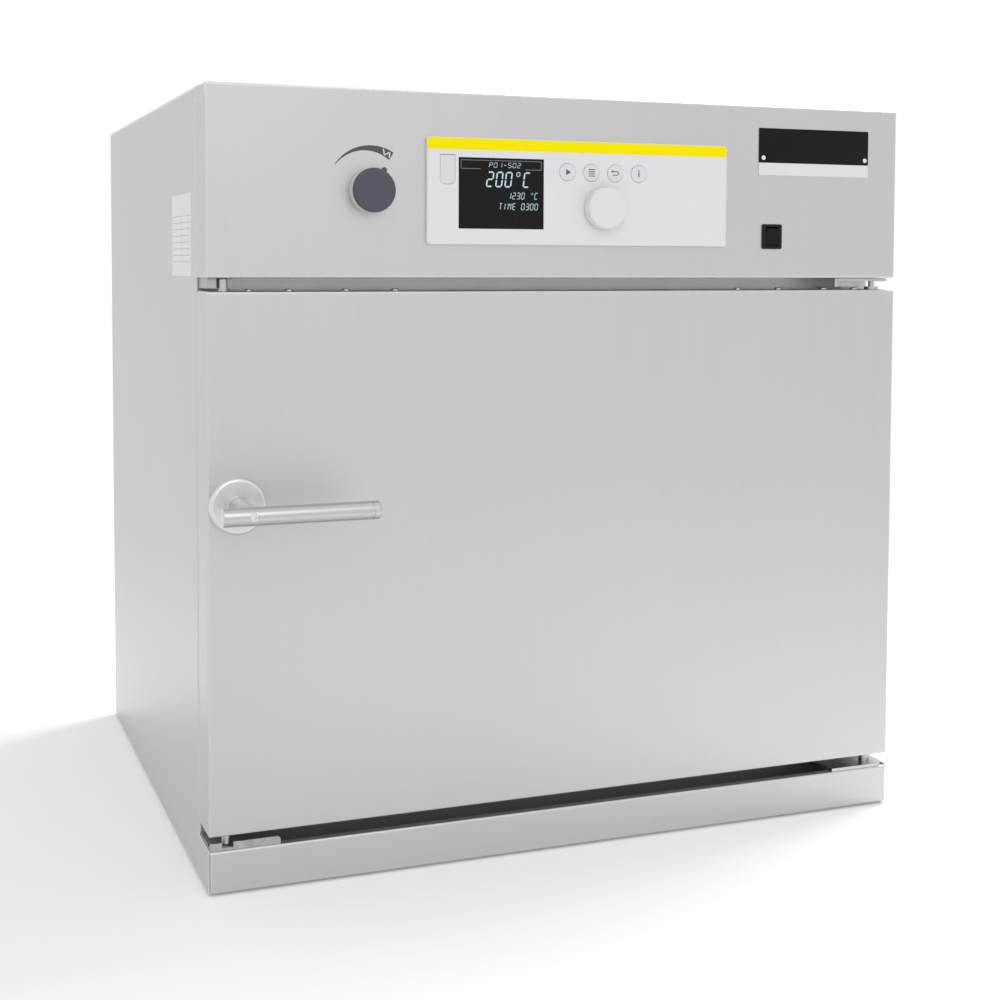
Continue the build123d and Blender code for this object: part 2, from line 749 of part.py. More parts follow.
def make_handle_end_caps():
    """The plugs that close the two ends of the lever."""
    y = y_front - lever_reach
    x0 = x_handle - lever_left
    x1 = x_handle + lever_right
    inner = lever_radius - lever_wall
    left = edge_fillet(round_x(y, handle_height, lever_radius, x0, x0 + end_plug), Axis.X, 0, 1.0)
    left += round_x(y, handle_height, inner, x0 + end_plug, x0 + end_plug + 8)
    right = edge_fillet(round_x(y, handle_height, lever_radius, x1 - end_cap, x1), Axis.X, -1, 2.0)
    right -= round_x(y, handle_height, 99, x1 - end_cap, x1 - end_cap + 1) - round_x(
        y, handle_height, lever_radius - 0.6, x1 - end_cap, x1 - end_cap + 1)
    right += round_x(y, handle_height, inner, x1 - end_cap - 8, x1 - end_cap)
    return Compound(children=[left, right])


def make_handle_screw():
    """The socket screw that holds the lever's tube on its neck."""
    y0 = y_front - handle_front + 0.2
    seat = y_front - handle_front + 3
    screw = round_y(x_handle, handle_height, lever_screw_radius, y0, seat)
    screw += round_y(x_handle, handle_height, lever_screw_shank, seat - 0.5, y_front - lever_reach + lever_radius + 11)
    socket = front_plate(Pos(x_handle, handle_height) * RegularPolygon(2.0, 6), y0 - 1, y0 + 1.8)
    return edge_fillet(screw, Axis.Y, 0, 0.4) - socket


# Controls

def make_controller_housing():
    """The controller's moulded face and the box behind it."""
    x0 = controller_left - half
    x1 = x0 + controller_width
    z0 = controller_bottom
    z1 = z0 + controller_height
    lap = controller_lap
    y_face = y_front - controller_proud
    face = front_plate(rounded(x0, x1, z0, z1, 3), y_face, y_front)
    face = edge_fillet(face, Axis.Y, 0, 1.2)
    housing = face + block(x0 + lap, x1 - lap, y_front, y_front + controller_box_depth, z0 + lap, z1 - lap)
    y_wall = y_face + controller_wall
    w = case_wall
    housing -= block(x0 + lap + w, x1 - lap - w, y_wall, y_front + controller_box_depth - w,
                     z0 + lap + w, z1 - lap - w)
    dx = display_left - half
    housing -= block(dx, dx + display_width, y_face - 1, y_wall + 1, display_bottom, display_bottom + display_height)
    for x in button_places():
        housing -= round_y(x, button_height, button_radius + control_gap, y_face - 1, y_wall + 1)
    housing -= round_y(dial_left - half, dial_height, encoder_radius + pin_fit, y_face - 1, y_wall + 1)
    pad = flap_block(y_wall, y_wall + 2.5, 3)
    recess = flap_shape(y_face - 1, y_face + flap_sheet + control_gap, control_gap)
    socket = flap_middle()
    port = block(socket[0] - usb_half_width - 0.1, socket[0] + usb_half_width + 0.1, y_face, y_wall + 3,
                 socket[1] - usb_half_height - 0.1, socket[1] + usb_half_height + 0.1)
    pivot = round_x(y_flap_pivot, z_flap_pivot, flap_pin + pin_fit, flap_x0 - 2, flap_x0 + flap_width + 2)
    return housing + pad - recess - port - pivot


def button_places():
    """The x of each of the four keys."""
    return [button_first + number * button_pitch - half for number in range(4)]


def flap_middle():
    """The middle of the port's flap, as (x, z)."""
    return flap_x0 + flap_width / 2, flap_top - flap_height / 2


def flap_block(y0, y1, margin):
    """A plain block over the flap's place, wider by a margin."""
    z0 = flap_top - flap_height
    return block(flap_x0 - margin, flap_x0 + flap_width + margin, y0, y1, z0 - margin, flap_top + margin)


def flap_shape(y0, y1, margin):
    """The flap's outline, square at the top and round at the bottom, wider by a margin."""
    x, z = flap_middle()
    outline = Pos(x, z) * Rectangle(flap_width + 2 * margin, flap_height + 2 * margin)
    outline = fillet(outline.vertices().group_by(Axis.Y)[0], 5 + margin)
    return front_plate(outline, y0, y1)


def make_usb_flap():
    """The hinged cover of the port, with its two pivot stubs."""
    y0 = y_front - controller_proud + 0.1
    flap = flap_shape(y0, y0 + flap_sheet, 0)
    corner = block(flap_x0 - 1, flap_x0 + flap_width + 1, y0 - 1, y0 + flap_sheet + 1, z_flap_pivot, flap_top + 1)
    flap -= corner
    flap += round_x(y_flap_pivot, z_flap_pivot, flap_sheet / 2, flap_x0, flap_x0 + flap_width)
    return flap + round_x(y_flap_pivot, z_flap_pivot, flap_pin, flap_x0 - 1.5, flap_x0 + flap_width + 1.5)


def make_usb_socket():
    """The port behind the flap: a shell with a tongue."""
    x, z = flap_middle()
    y0 = y_front - controller_proud + flap_sheet + control_gap + 0.3
    shell = block(x - usb_half_width, x + usb_half_width, y0, y0 + 13, z - usb_half_height, z + usb_half_height)
    shell -= block(x - usb_half_width + 0.4, x + usb_half_width - 0.4, y0 - 1, y0 + 12,
                   z - usb_half_height + 0.4, z + usb_half_height - 0.4)
    return shell + block(x - usb_half_width + 0.4, x - usb_half_width + 2.2, y0 + 1, y0 + 12.5,
                         z - usb_half_height + 1.2, z + usb_half_height - 1.2)


def make_display_window():
    """The window of the display, set a little back in the controller's face."""
    g = 0.1
    x0 = display_left - half
    y_face = y_front - controller_proud
    return block(x0 + g, x0 + display_width - g, y_face + 0.4, y_face + controller_wall + 1.5,
                 display_bottom + g, display_bottom + display_height - g)


def make_key(number):
    """One round key, with the flange that keeps it in and its stem."""
    x = button_places()[number]
    y_wall = y_front - controller_proud + controller_wall
    cap = round_y(x, button_height, button_radius, y_front - controller_proud - button_proud, y_wall + 1)
    cap = edge_fillet(cap, Axis.Y, 0, 0.4)
    cap += round_y(x, button_height, button_radius + 1, y_wall + 0.3, y_wall + 1.3)
    return cap + round_y(x, button_height, 2, y_wall + 1, y_wall + 5)


def make_encoder_shaft():
    """The shaft that is pushed in with the dial and lets it turn."""
    x = dial_left - half
    y_wall = y_front - controller_proud + controller_wall
    shaft = round_y(x, dial_height, encoder_radius, y_dial_back - 7, y_wall + 8)
    return shaft + round_y(x, dial_height, encoder_radius + 2, y_wall + 0.3, y_wall + 2)


def make_jog_dial():
    """The white dial, hollowed for its shaft."""
    x = dial_left - half
    dial = round_y(x, dial_height, dial_radius, y_dial_back - dial_length, y_dial_back)
    dial = edge_fillet(dial, Axis.Y, 0, 2.5)
    dial = edge_fillet(dial, Axis.Y, -1, 0.6)
    return dial - round_y(x, dial_height, encoder_radius + pin_fit, y_dial_back - 8, y_dial_back + 1)


def switch_middle():
    """The middle of the power switch, as (x, z)."""
    return switch_left + switch_width / 2 - half, switch_bottom + switch_height / 2


def switch_body():
    """The part of the switch that passes through the fascia, as x0, x1, z0, z1."""
    x, z = switch_middle()
    hx = switch_width / 2 - switch_rim
    hz = switch_height / 2 - switch_rim
    return x - hx, x + hx, z - hz, z + hz


def make_switch_housing():
    """The frame of the power switch."""
    x, z = switch_middle()
    rim = rounded(x - switch_width / 2, x + switch_width / 2, z - switch_height / 2, z + switch_height / 2, 1.5)
    rim = edge_fillet(front_plate(rim, y_front - switch_proud, y_front), Axis.Y, 0, 0.6)
    sx0, sx1, sz0, sz1 = switch_body()
    housing = rim + block(sx0, sx1, y_front, y_front + 22, sz0, sz1)
    hx = rocker_half_width + control_gap
    housing -= block(x - hx, x + hx, y_front - 5, y_front + 12, z - rocker_room, z + rocker_room)
    return housing - round_x(y_rocker, z, rocker_pin + pin_fit, x - hx - 1.4, x + hx + 1.4)


def make_rocker():
    """The rocker, tilted to its off position."""
    x, z = switch_middle()
    profile = Polyline(
        (-4.4, -8.4), (-3.7, 0), (-4.4, 8.4), (0, 8.7), (3.5, 4), (3.5, -4), (0, -8.7), close=True
    )
    hx = rocker_half_width
    body = extrude(Plane.YZ.offset(-hx) * make_face(profile), amount=2 * hx)
    body = fillet(body.edges().filter_by(Axis.X).group_by(Axis.Y)[0], 0.6)
    body += round_x(0, 0, rocker_pin, -hx - 1.2, hx + 1.2)
    return Pos(x, y_rocker, z) * Rot(rocker_tilt, 0, 0) * body


def make_solid_state_relay():
    """The heater relay on its finned heat sink, standing on the compartment's floor."""
    z0 = compartment_floor + sheet
    x0, y0 = 200.0, y_front + 150
    sink = block(x0, x0 + 60, y0, y0 + 90, z0, z0 + 5)
    for fin in range(8):
        x = x0 + 1 + fin * 8
        sink += block(x, x + 2, y0, y0 + 90, z0 + 5, z0 + 25)
    sink += block(x0 + 1, x0 + 59, y0 + 15, y0 + 75, z0 + 24, z0 + 28)
    return sink + fillet(block(x0 + 8, x0 + 52, y0 + 16, y0 + 74, z0 + 28, z0 + 50).edges().filter_by(Axis.Z), 3)


# Exhaust vent

def sector(inner, outer, middle, spread):
    """A ring sector drawn as (x, z), with its middle at an angle from +X."""
    ring = Circle(outer) - Circle(inner)
    reach = outer * 2
    low = math.radians(middle - spread / 2)
    high = math.radians(middle + spread / 2)
    mid = math.radians(middle)
    corners = [(0, 0)] + [(reach * math.cos(a), reach * math.sin(a)) for a in (low, mid, high)]
    return ring & make_face(Polyline(*corners, close=True))


def make_exhaust_duct():
    """The sheet box behind the vent control and the pipe that rises into it."""
    t = duct_sheet
    y1 = y_back - sheet - 0.2
    d = duct_half
    duct = block(x_vent - d, x_vent + d, y_duct, y1, vent_height - d, vent_height + d)
    duct -= block(x_vent - d + t, x_vent + d - t, y_duct + t, y1 - t, vent_height - d + t, vent_height + d - t)
    z0 = chamber_top + liner_sheet
    duct += round_z(x_port, y_port, duct_pipe_radius, z0, vent_height - d + t)
    duct -= round_z(x_port, y_port, duct_pipe_radius - t, z0 - 1, vent_height - d + t + 1)
    duct -= round_y(x_vent, vent_height, vent_rod_radius + 0.2, y_duct - 1, y_duct + t + 1)
    return duct - round_y(x_vent, vent_height, stub_neck_radius + 0.1, y1 - t - 1, y1 + 1)


def make_valve_plate():
    """The fixed plate in the duct, with two windows and the bush of the vent rod."""
    h = duct_half - duct_sheet - 0.2
    outline = rounded(x_vent - h, x_vent + h, vent_height - h, vent_height + h, 2)
    for middle in (0, 180):
        outline -= Pos(x_vent, vent_height) * sector(window_inner, window_outer, middle, window_angle)
    plate = front_plate(outline, y_valve, y_valve + 2)
    plate += round_y(x_vent, vent_height, vent_rod_radius + 4, y_valve, y_valve + 8)
    return plate - round_y(x_vent, vent_height, vent_rod_radius + pin_fit, y_valve - 1, y_valve + 9)


def make_vent_rod():
    """The long rod from the knob, with the windowed disc that covers the plate's windows."""
    rod = round_y(x_vent, vent_height, vent_rod_radius, y_front - 10, y_valve + 8)
    disc = Circle(valve_radius)
    for middle in (0, 180):
        disc -= sector(window_inner, window_outer, middle, window_angle)
    disc = Pos(x_vent, vent_height) * Rot(0, 0, vent_disc_angle) * disc
    rod += front_plate(disc, y_valve - 2.3, y_valve - 0.8)
    return rod + round_y(x_vent, vent_height, vent_rod_radius + 4, y_valve - 14, y_valve - 2)


def make_vent_knob():
    """The vent knob, with the nib that points at its printed scale."""
    outline = Circle(knob_radius)
    nib = [(-3.2, knob_radius - 1), (-1.3, knob_radius + 2.6), (1.3, knob_radius + 2.6), (3.2, knob_radius - 1)]
    knob = front_plate(outline, y_front - knob_length, y_front - 0.5)
    knob = edge_fillet(knob, Axis.Y, 0, 2.5)
    knob += front_plate(make_face(Polyline(*nib, close=True)), y_front - knob_length + 1.5, y_front - 3)
    knob = Pos(x_vent, 0, vent_height) * Rot(0, knob_pointer_angle, 0) * knob
    return knob - round_y(x_vent, vent_height, vent_rod_radius, y_front - 10, y_front)


def make_exhaust_stub():
    """The pipe end at the back that an exhaust hose slides over, with a narrower neck in the panel."""
    y0 = y_back - sheet - 0.2 - duct_sheet
    y1 = y_back + stub_length
    stub = round_y(x_vent, vent_height, stub_radius, y_back + stub_shoulder, y1)
    stub += round_y(x_vent, vent_height, stub_neck_radius, y0, y_back + stub_shoulder + 1)
    return stub - round_y(x_vent, vent_height, stub_radius - stub_wall, y0 - 1, y1 + 1)


# Fan, heaters, sensor and shelf

def make_fan_wheel():
    """The radial wheel behind the baffle, on its shaft."""
    y0 = y_baffle + 9
    y1 = y0 + fan_width
    eye = fan_radius - 13
    wheel = front_plate(Pos(0, chamber_mid) * Circle(fan_radius), y1 - fan_sheet, y1)
    ring = Pos(0, chamber_mid) * (Circle(fan_radius) - Circle(eye))
    wheel += front_plate(ring, y0, y0 + fan_sheet)
    for number in range(fan_blades):
        turn = (number + 0.5) * 360 / fan_blades
        blade = Pos(0, chamber_mid) * Rot(0, 0, turn) * Pos((fan_radius + eye) / 2, 0) * Rectangle(11, 1)
        wheel += front_plate(blade, y0 + fan_sheet, y1 - fan_sheet)
    wheel += round_y(0, chamber_mid, 12, y1 - 16, y1 - fan_sheet)
    return wheel + round_y(0, chamber_mid, fan_shaft_radius, y1, y_motor + 25)


def make_fan_motor():
    """The fan motor behind the rear insulation."""
    motor = round_y(0, chamber_mid, motor_radius, y_motor, y_motor + motor_length)
    motor = edge_fillet(motor, Axis.Y, -1, 5)
    motor = edge_fillet(motor, Axis.Y, 0, 2)
    return motor - round_y(0, chamber_mid, fan_shaft_radius + pin_fit, y_motor - 1, y_motor + 27)


def make_motor_bracket():
    """The upright channel that carries the motor from the base."""
    t = bracket_sheet - 1
    x = motor_radius + 12
    z1 = chamber_mid + motor_radius + 12
    outline = rounded(-x, x, base_height, z1, 1) - Pos(0, chamber_mid) * Circle(fan_shaft_radius + 4)
    for z in (base_height + 50, base_height + 130):
        outline -= Pos(0, z) * SlotOverall(60, 26)
    bracket = front_plate(outline, y_motor - t, y_motor)
    for side in (-1, 1):
        xs = sorted((side * (x - t), side * x))
        bracket += block(xs[0], xs[1], y_motor - t, y_motor + 20, base_height, z1 - 2)
    return bracket + block(-x, x, y_motor - t, y_motor + 30, base_height, base_height + t)


def heater_leads():
    """Where the ends of the two heater rings pass back through the liner, as (x, z)."""
    places = []
    for offset in (9.0, 24.0):
        z = chamber_mid - math.sqrt(heater_radius ** 2 - offset ** 2)
        places += [(-offset, z), (offset, z)]
    return places


def sensor_place():
    """Where the temperature sensor passes through the back of the liner, as (x, z)."""
    return 130.0, chamber_top - 60


def make_heating_elements():
    """Two tubular heater rings around the fan, each with its ends led out at the back."""
    rings = []
    y_end = y_liner_back + liner_sheet + insulation_gap + insulation + 3
    for number, y in enumerate((y_baffle + 14, y_baffle + 34)):
        places = heater_leads()[2 * number:2 * number + 2]
        gap = math.degrees(math.asin(places[1][0] / heater_radius))
        section = Plane.XZ * (Pos(heater_radius, 0) * Circle(heater_tube))
        ring = revolve(section, Axis.Z, 360 - 2 * gap)
        ring = Rot(90, 0, 0) * Rot(0, 0, 90 + gap) * ring
        heater = Pos(0, y, chamber_mid) * ring
        for x, z in places:
            heater += Pos(x, y, z) * Sphere(heater_elbow)
            heater += round_y(x, z, heater_tube, y, y_end)
        rings.append(heater)
    return Compound(children=rings)


def make_temperature_sensor():
    """The sensor's sheath, from behind the insulation to just inside the chamber."""
    x, z = sensor_place()
    y1 = y_liner_back + liner_sheet + insulation_gap + insulation + 12
    sensor = round_y(x, z, heater_tube, y_baffle - 25, y1)
    sensor = edge_fillet(sensor, Axis.Y, 0, 3)
    return sensor + round_y(x, z, heater_tube + 3, y1 - 10, y1)


def make_air_baffle():
    """The panel in front of the fan: an intake grille in the middle and outlets at the sides."""
    x = chamber_half - baffle_gap
    z0 = chamber_floor + baffle_gap
    z1 = chamber_top - baffle_gap
    outline = rounded(-x, x, z0, z1, chamber_corner - baffle_gap)
    for ring, holes in ((16, 6), (32, 12), (48, 18)):
        for number in range(holes):
            a = 2 * math.pi * number / holes
            outline -= Pos(ring * math.cos(a), chamber_mid + ring * math.sin(a)) * Circle(5.2)
    for side in (-1, 1):
        for row in range(12):
            z = chamber_floor + 32 + row * (chamber_height - 64) / 11
            outline -= Pos(side * (chamber_half - 45), z) * SlotOverall(46, 9)
    sx, sz = sensor_place()
    outline -= Pos(sx, sz) * Circle(heater_tube + 0.3)
    return front_plate(outline, y_baffle, y_baffle + frame_sheet)


def make_shelf_racks():
    """The two hanging racks on the chamber's sides, each with its ledges."""
    x1 = chamber_half - rack_stand_off
    x0 = x1 - ledge_width
    rack = None
    for y in (y_casing + 45, y_baffle - 45):
        post = block(x1 - rack_sheet, x1, y - rack_post / 2, y + rack_post / 2, chamber_floor + 10, chamber_top - 10)
        rack = post if rack is None else rack + post
        for z in (chamber_floor + 22, chamber_top - 22):
            rack += round_x(y, z, 3, x1 - 1, chamber_half - 0.05)
    for level in ledge_levels:
        rack += block(x0, x1, y_casing + 22, y_baffle - 12, level, level + rack_sheet)
        rack += block(x0, x0 + rack_sheet, y_casing + 22, y_baffle - 12, level - 6, level + 1)
    return Compound(children=[rack, mirror(rack, about=Plane.YZ)])


def make_wire_shelf():
    """The wire shelf, resting on one pair of ledges."""
    r = shelf_rod
    x = shelf_half_width - r
    y0 = y_front + door_return + inner_panel_sheet + inner_panel_rise + shelf_front_gap + r
    y1 = y_baffle - 3 - r
    z = ledge_levels[shelf_level] + rack_sheet + 0.15 + r
    loop = (Pos(0, (y0 + y1) / 2, z) * RectangleRounded(2 * x, y1 - y0, shelf_corner)).wire()
    shelf = sweep((loop ^ 0) * Circle(r), path=loop)
    top = z + r + shelf_wire - 1.0
    for number in range(shelf_wire_count):
        px = -x + (number + 1) * 2 * x / (shelf_wire_count + 1)
        shelf += round_y(px, top, shelf_wire, y0 - r * 0.6, y1 + r * 0.6)
    return shelf + round_x((y0 + y1) / 2, z, shelf_brace, -x, x)


def make_cable_gland():
    """The gland that the mains lead leaves by, with its nut inside the panel."""
    y0 = y_back - sheet - 8
    thread = round_y(gland_x, gland_z, gland_bore + 3, y0, y0 + gland_length)
    hexagon = RegularPolygon(12.5, 6)
    hexagon = Pos(gland_x, gland_z) * hexagon
    gland = thread + front_plate(hexagon, y_back, y_back + 6) + front_plate(hexagon, y0 + 2, y0 + 7.8)
    dome = round_y(gland_x, gland_z, 11, y_back + 6, y0 + gland_length)
    dome = edge_fillet(dome, Axis.Y, -1, 2.5)
    return gland + dome - round_y(gland_x, gland_z, gland_bore, y0 - 1, y0 + gland_length + 1)


def make_casing_screws():
    """The screws that hold the rear panel."""
    screws = []
    for x, z in rear_screw_places():
        head = round_y(x, z, screw_radius, y_back, y_back + screw_head)
        screws.append(edge_fillet(head, Axis.Y, -1, 1.2))
    return Compound(children=screws)


def all_nodes():
    """Every piece of the oven by name."""
    nodes = {
        "left_side_panel": side_panel(-1),
        "right_side_panel": side_panel(1),
        "top_cover": make_top_cover(),
        "rear_panel": make_rear_panel(),
        "base_panel": make_base_panel(),
        "levelling_feet": make_levelling_feet(),
        "front_plinth": make_front_plinth(),
        "front_frame": make_front_frame(),
        "chamber_liner": make_chamber_liner(),
        "wrap_insulation": make_wrap_insulation(),
        "rear_insulation": make_rear_insulation(),
        "component_tray": make_component_tray(),
        "door_gasket": make_door_gasket(),
        "control_fascia": make_control_fascia(),
        "door_skin": make_door_skin(),
        "door_inner_panel": make_door_inner_panel(),
        "door_insulation": make_door_insulation(),
        "hinge_bushes": make_hinge_bushes(),
        "upper_hinge_bracket": make_upper_hinge_bracket(),
        "lower_hinge_bracket": make_lower_hinge_bracket(),
        "door_screws": make_door_screws(),
        "handle_rosette": make_handle_rosette(),
        "lock_case": make_lock_case(),
        "lock_pinion": make_lock_pinion(),
        "upper_lock_rod": lock_slide(1),
        "lower_lock_rod": lock_slide(-1),
        "rod_guides": make_rod_guides(),
        "upper_keeper": make_upper_keeper(),
        "lower_keeper": make_lower_keeper(),
        "handle_lever": make_handle_lever(),
        "handle_end_caps": make_handle_end_caps(),
        "handle_screw": make_handle_screw(),
        "controller_housing": make_controller_housing(),
        "display_window": make_display_window(),
        "encoder_shaft": make_encoder_shaft(),
        "jog_dial": make_jog_dial(),
        "usb_flap": make_usb_flap(),
        "usb_socket": make_usb_socket(),
        "switch_housing": make_switch_housing(),
        "rocker": make_rocker(),
        "solid_state_relay": make_solid_state_relay(),
        "exhaust_duct": make_exhaust_duct(),
        "valve_plate": make_valve_plate(),
        "vent_rod": make_vent_rod(),
        "vent_knob": make_vent_knob(),
        "exhaust_stub": make_exhaust_stub(),
        "fan_wheel": make_fan_wheel(),
        "fan_motor": make_fan_motor(),
        "motor_bracket": make_motor_bracket(),
        "heating_elements": make_heating_elements(),
        "temperature_sensor": make_temperature_sensor(),
        "air_baffle": make_air_baffle(),
        "shelf_racks": make_shelf_racks(),
        "wire_shelf": make_wire_shelf(),
        "cable_gland": make_cable_gland(),
        "casing_screws": make_casing_screws(),
    }
    for number, name in enumerate(("play_key", "list_key", "back_key", "info_key")):
        nodes[name] = make_key(number)
    return nodes


os.makedirs("parts", exist_ok=True)
for node_name, shape in all_nodes().items():
    shape.label = node_name
    export_step(shape, f"parts/{node_name}.step")
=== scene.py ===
import math

import bpy
from mathutils import Matrix, Vector


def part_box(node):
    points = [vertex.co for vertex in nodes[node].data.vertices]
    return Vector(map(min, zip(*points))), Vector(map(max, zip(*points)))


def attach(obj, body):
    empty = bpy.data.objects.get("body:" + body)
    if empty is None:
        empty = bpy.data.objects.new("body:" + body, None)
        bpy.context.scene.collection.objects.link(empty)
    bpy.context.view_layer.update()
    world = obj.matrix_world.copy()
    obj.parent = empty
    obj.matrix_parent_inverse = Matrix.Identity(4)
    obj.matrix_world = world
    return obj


# Looks of the laboratory drying oven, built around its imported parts.
# Lengths in this file are millimetres where a name or a comment says so, otherwise metres.

MM = 0.001
SAME_PLACE = 1e-7  # two places nearer than this, in metres, count as one

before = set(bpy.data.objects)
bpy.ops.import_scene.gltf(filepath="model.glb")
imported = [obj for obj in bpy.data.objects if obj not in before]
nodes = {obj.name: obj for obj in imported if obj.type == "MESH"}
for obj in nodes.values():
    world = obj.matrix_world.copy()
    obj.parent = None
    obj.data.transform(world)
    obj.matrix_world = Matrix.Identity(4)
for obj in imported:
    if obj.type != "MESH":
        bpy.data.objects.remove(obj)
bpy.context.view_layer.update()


# Node materials

def start_material(name, colour, roughness, metallic=0.0):
    """A material with its plain values set, ready for patterns."""
    material = bpy.data.materials.new(name)
    material.use_nodes = True
    shader = material.node_tree.nodes["Principled BSDF"]
    shader.inputs["Base Color"].default_value = (*colour, 1)
    shader.inputs["Roughness"].default_value = roughness
    shader.inputs["Metallic"].default_value = metallic
    return material, material.node_tree, shader


def surface_place(tree, scale):
    """The place on the piece, stretched by scale."""
    coordinates = tree.nodes.new("ShaderNodeTexCoord")
    mapping = tree.nodes.new("ShaderNodeMapping")
    mapping.inputs["Scale"].default_value = scale
    tree.links.new(coordinates.outputs["Object"], mapping.inputs["Vector"])
    return mapping.outputs["Vector"]


def speckle(tree, place, scale, detail=3.0, roughness=0.55):
    """A noise pattern from 0 to 1."""
    texture = tree.nodes.new("ShaderNodeTexNoise")
    texture.inputs["Scale"].default_value = scale
    texture.inputs["Detail"].default_value = detail
    texture.inputs["Roughness"].default_value = roughness
    tree.links.new(place, texture.inputs["Vector"])
    return texture.outputs["Fac"]


def spread(tree, value, low, high, start=0.25, end=0.75):
    """Maps start..end of a pattern to low..high."""
    node = tree.nodes.new("ShaderNodeMapRange")
    node.inputs["From Min"].default_value = start
    node.inputs["From Max"].default_value = end
    node.inputs["To Min"].default_value = low
    node.inputs["To Max"].default_value = high
    tree.links.new(value, node.inputs["Value"])
    return node.outputs["Result"]


def blend_colours(tree, factor, dark, light):
    """A colour between two others; each is a plain colour or another node's output."""
    node = tree.nodes.new("ShaderNodeMix")
    node.data_type = "RGBA"
    tree.links.new(factor, node.inputs["Factor"])
    for socket, colour in ((node.inputs[6], dark), (node.inputs[7], light)):
        if isinstance(colour, tuple):
            socket.default_value = (*colour, 1)
        else:
            tree.links.new(colour, socket)
    return node.outputs[2]


def combine(tree, first, second, operation="ADD"):
    """Two values joined by one operation of arithmetic; the second may be a plain number."""
    node = tree.nodes.new("ShaderNodeMath")
    node.operation = operation
    tree.links.new(first, node.inputs[0])
    if isinstance(second, (int, float)):
        node.inputs[1].default_value = second
    else:
        tree.links.new(second, node.inputs[1])
    return node.outputs[0]


def relief(tree, shader, height, depth_mm, strength, edge_mm=0.0):
    """Fine height on the surface; edge_mm also softens the sharp edges in the light."""
    bump = tree.nodes.new("ShaderNodeBump")
    bump.inputs["Strength"].default_value = strength
    bump.inputs["Distance"].default_value = depth_mm * MM
    tree.links.new(height, bump.inputs["Height"])
    if edge_mm:
        soft = tree.nodes.new("ShaderNodeBevel")
        soft.samples = 4
        soft.inputs["Radius"].default_value = edge_mm * MM
        tree.links.new(soft.outputs["Normal"], bump.inputs["Normal"])
    tree.links.new(bump.outputs["Normal"], shader.inputs["Normal"])


def edge_highlight_mask(tree, radius_mm):
    """1 along sharp edges and 0 on flat faces: where the materials paint a highlight along edges."""
    soft = tree.nodes.new("ShaderNodeBevel")
    soft.samples = 4
    soft.inputs["Radius"].default_value = radius_mm * MM
    face = tree.nodes.new("ShaderNodeNewGeometry")
    dot = tree.nodes.new("ShaderNodeVectorMath")
    dot.operation = "DOT_PRODUCT"
    tree.links.new(soft.outputs["Normal"], dot.inputs[0])
    tree.links.new(face.outputs["Normal"], dot.inputs[1])
    return spread(tree, dot.outputs["Value"], 1.0, 0.0, start=0.80, end=0.995)


def ground_steel(name, colour, roughness, run=(1, 1, 0.02)):
    """Fine-ground stainless sheet with a painted highlight along its folded edges; run is small along the
    grain, so that the marks are long there.
    """
    edge_polish_and_highlight = 0.10
    material, tree, shader = start_material(name, colour, roughness, metallic=0.92)
    fine = speckle(tree, surface_place(tree, tuple(1400 * r for r in run)), 1.0, detail=4)
    broad = speckle(tree, surface_place(tree, tuple(160 * r for r in run)), 1.0, detail=2)
    cloud = speckle(tree, surface_place(tree, (3, 3, 3)), 1.0, detail=2)
    grain = combine(tree, fine, broad)
    light = tuple(min(1, c * 1.018) for c in colour)
    dark = tuple(c * 0.982 for c in colour)
    body = blend_colours(tree, spread(tree, combine(tree, grain, cloud), 0, 1, 1.1, 1.9), dark, light)
    # Painted highlight: the colour is lightened along the edges in place of the light on the folds; the
    # roughness there is also lowered.
    edges = edge_highlight_mask(tree, 2.6)
    painted_edge_highlight = tuple(min(1, c * 1.55) for c in colour)
    shown = blend_colours(tree, combine(tree, edges, edge_polish_and_highlight * 9, "MULTIPLY"), body, painted_edge_highlight)
    tree.links.new(shown, shader.inputs["Base Color"])
    rough = spread(tree, grain, roughness - 0.02, roughness + 0.02, 0.75, 1.25)
    tree.links.new(combine(tree, rough, combine(tree, edges, -edge_polish_and_highlight, "MULTIPLY")), shader.inputs["Roughness"])
    relief(tree, shader, fine, 0.008, 0.3, edge_mm=0.5)
    return material


def turned_steel(name, colour, roughness, run):
    """Turned or drawn steel with a soft shine and fine tool marks across run."""
    material, tree, shader = start_material(name, colour, roughness, metallic=1.0)
    marks = speckle(tree, surface_place(tree, run), 1.0, detail=3)
    smear = speckle(tree, surface_place(tree, (25, 25, 25)), 1.0, detail=1)
    dark = tuple(c * 0.95 for c in colour)
    tree.links.new(blend_colours(tree, smear, dark, colour), shader.inputs["Base Color"])
    rough = spread(tree, combine(tree, marks, smear), roughness - 0.03, roughness + 0.04, 0.7, 1.3)
    tree.links.new(rough, shader.inputs["Roughness"])
    relief(tree, shader, marks, 0.006, 0.3, edge_mm=0.3)
    return material


def zinc_sheet(name, colour):
    """Galvanised sheet with its spangle."""
    material, tree, shader = start_material(name, colour, 0.45, metallic=0.9)
    cells = tree.nodes.new("ShaderNodeTexVoronoi")
    cells.inputs["Scale"].default_value = 140
    tree.links.new(surface_place(tree, (1, 1, 1)), cells.inputs["Vector"])
    grey = tree.nodes.new("ShaderNodeRGBToBW")
    tree.links.new(cells.outputs["Color"], grey.inputs["Color"])
    dark = tuple(c * 0.80 for c in colour)
    light = tuple(min(1, c * 1.12) for c in colour)
    tree.links.new(blend_colours(tree, grey.outputs["Val"], dark, light), shader.inputs["Base Color"])
    tree.links.new(spread(tree, grey.outputs["Val"], 0.36, 0.58), shader.inputs["Roughness"])
    relief(tree, shader, grey.outputs["Val"], 0.03, 0.3, edge_mm=0.4)
    return material


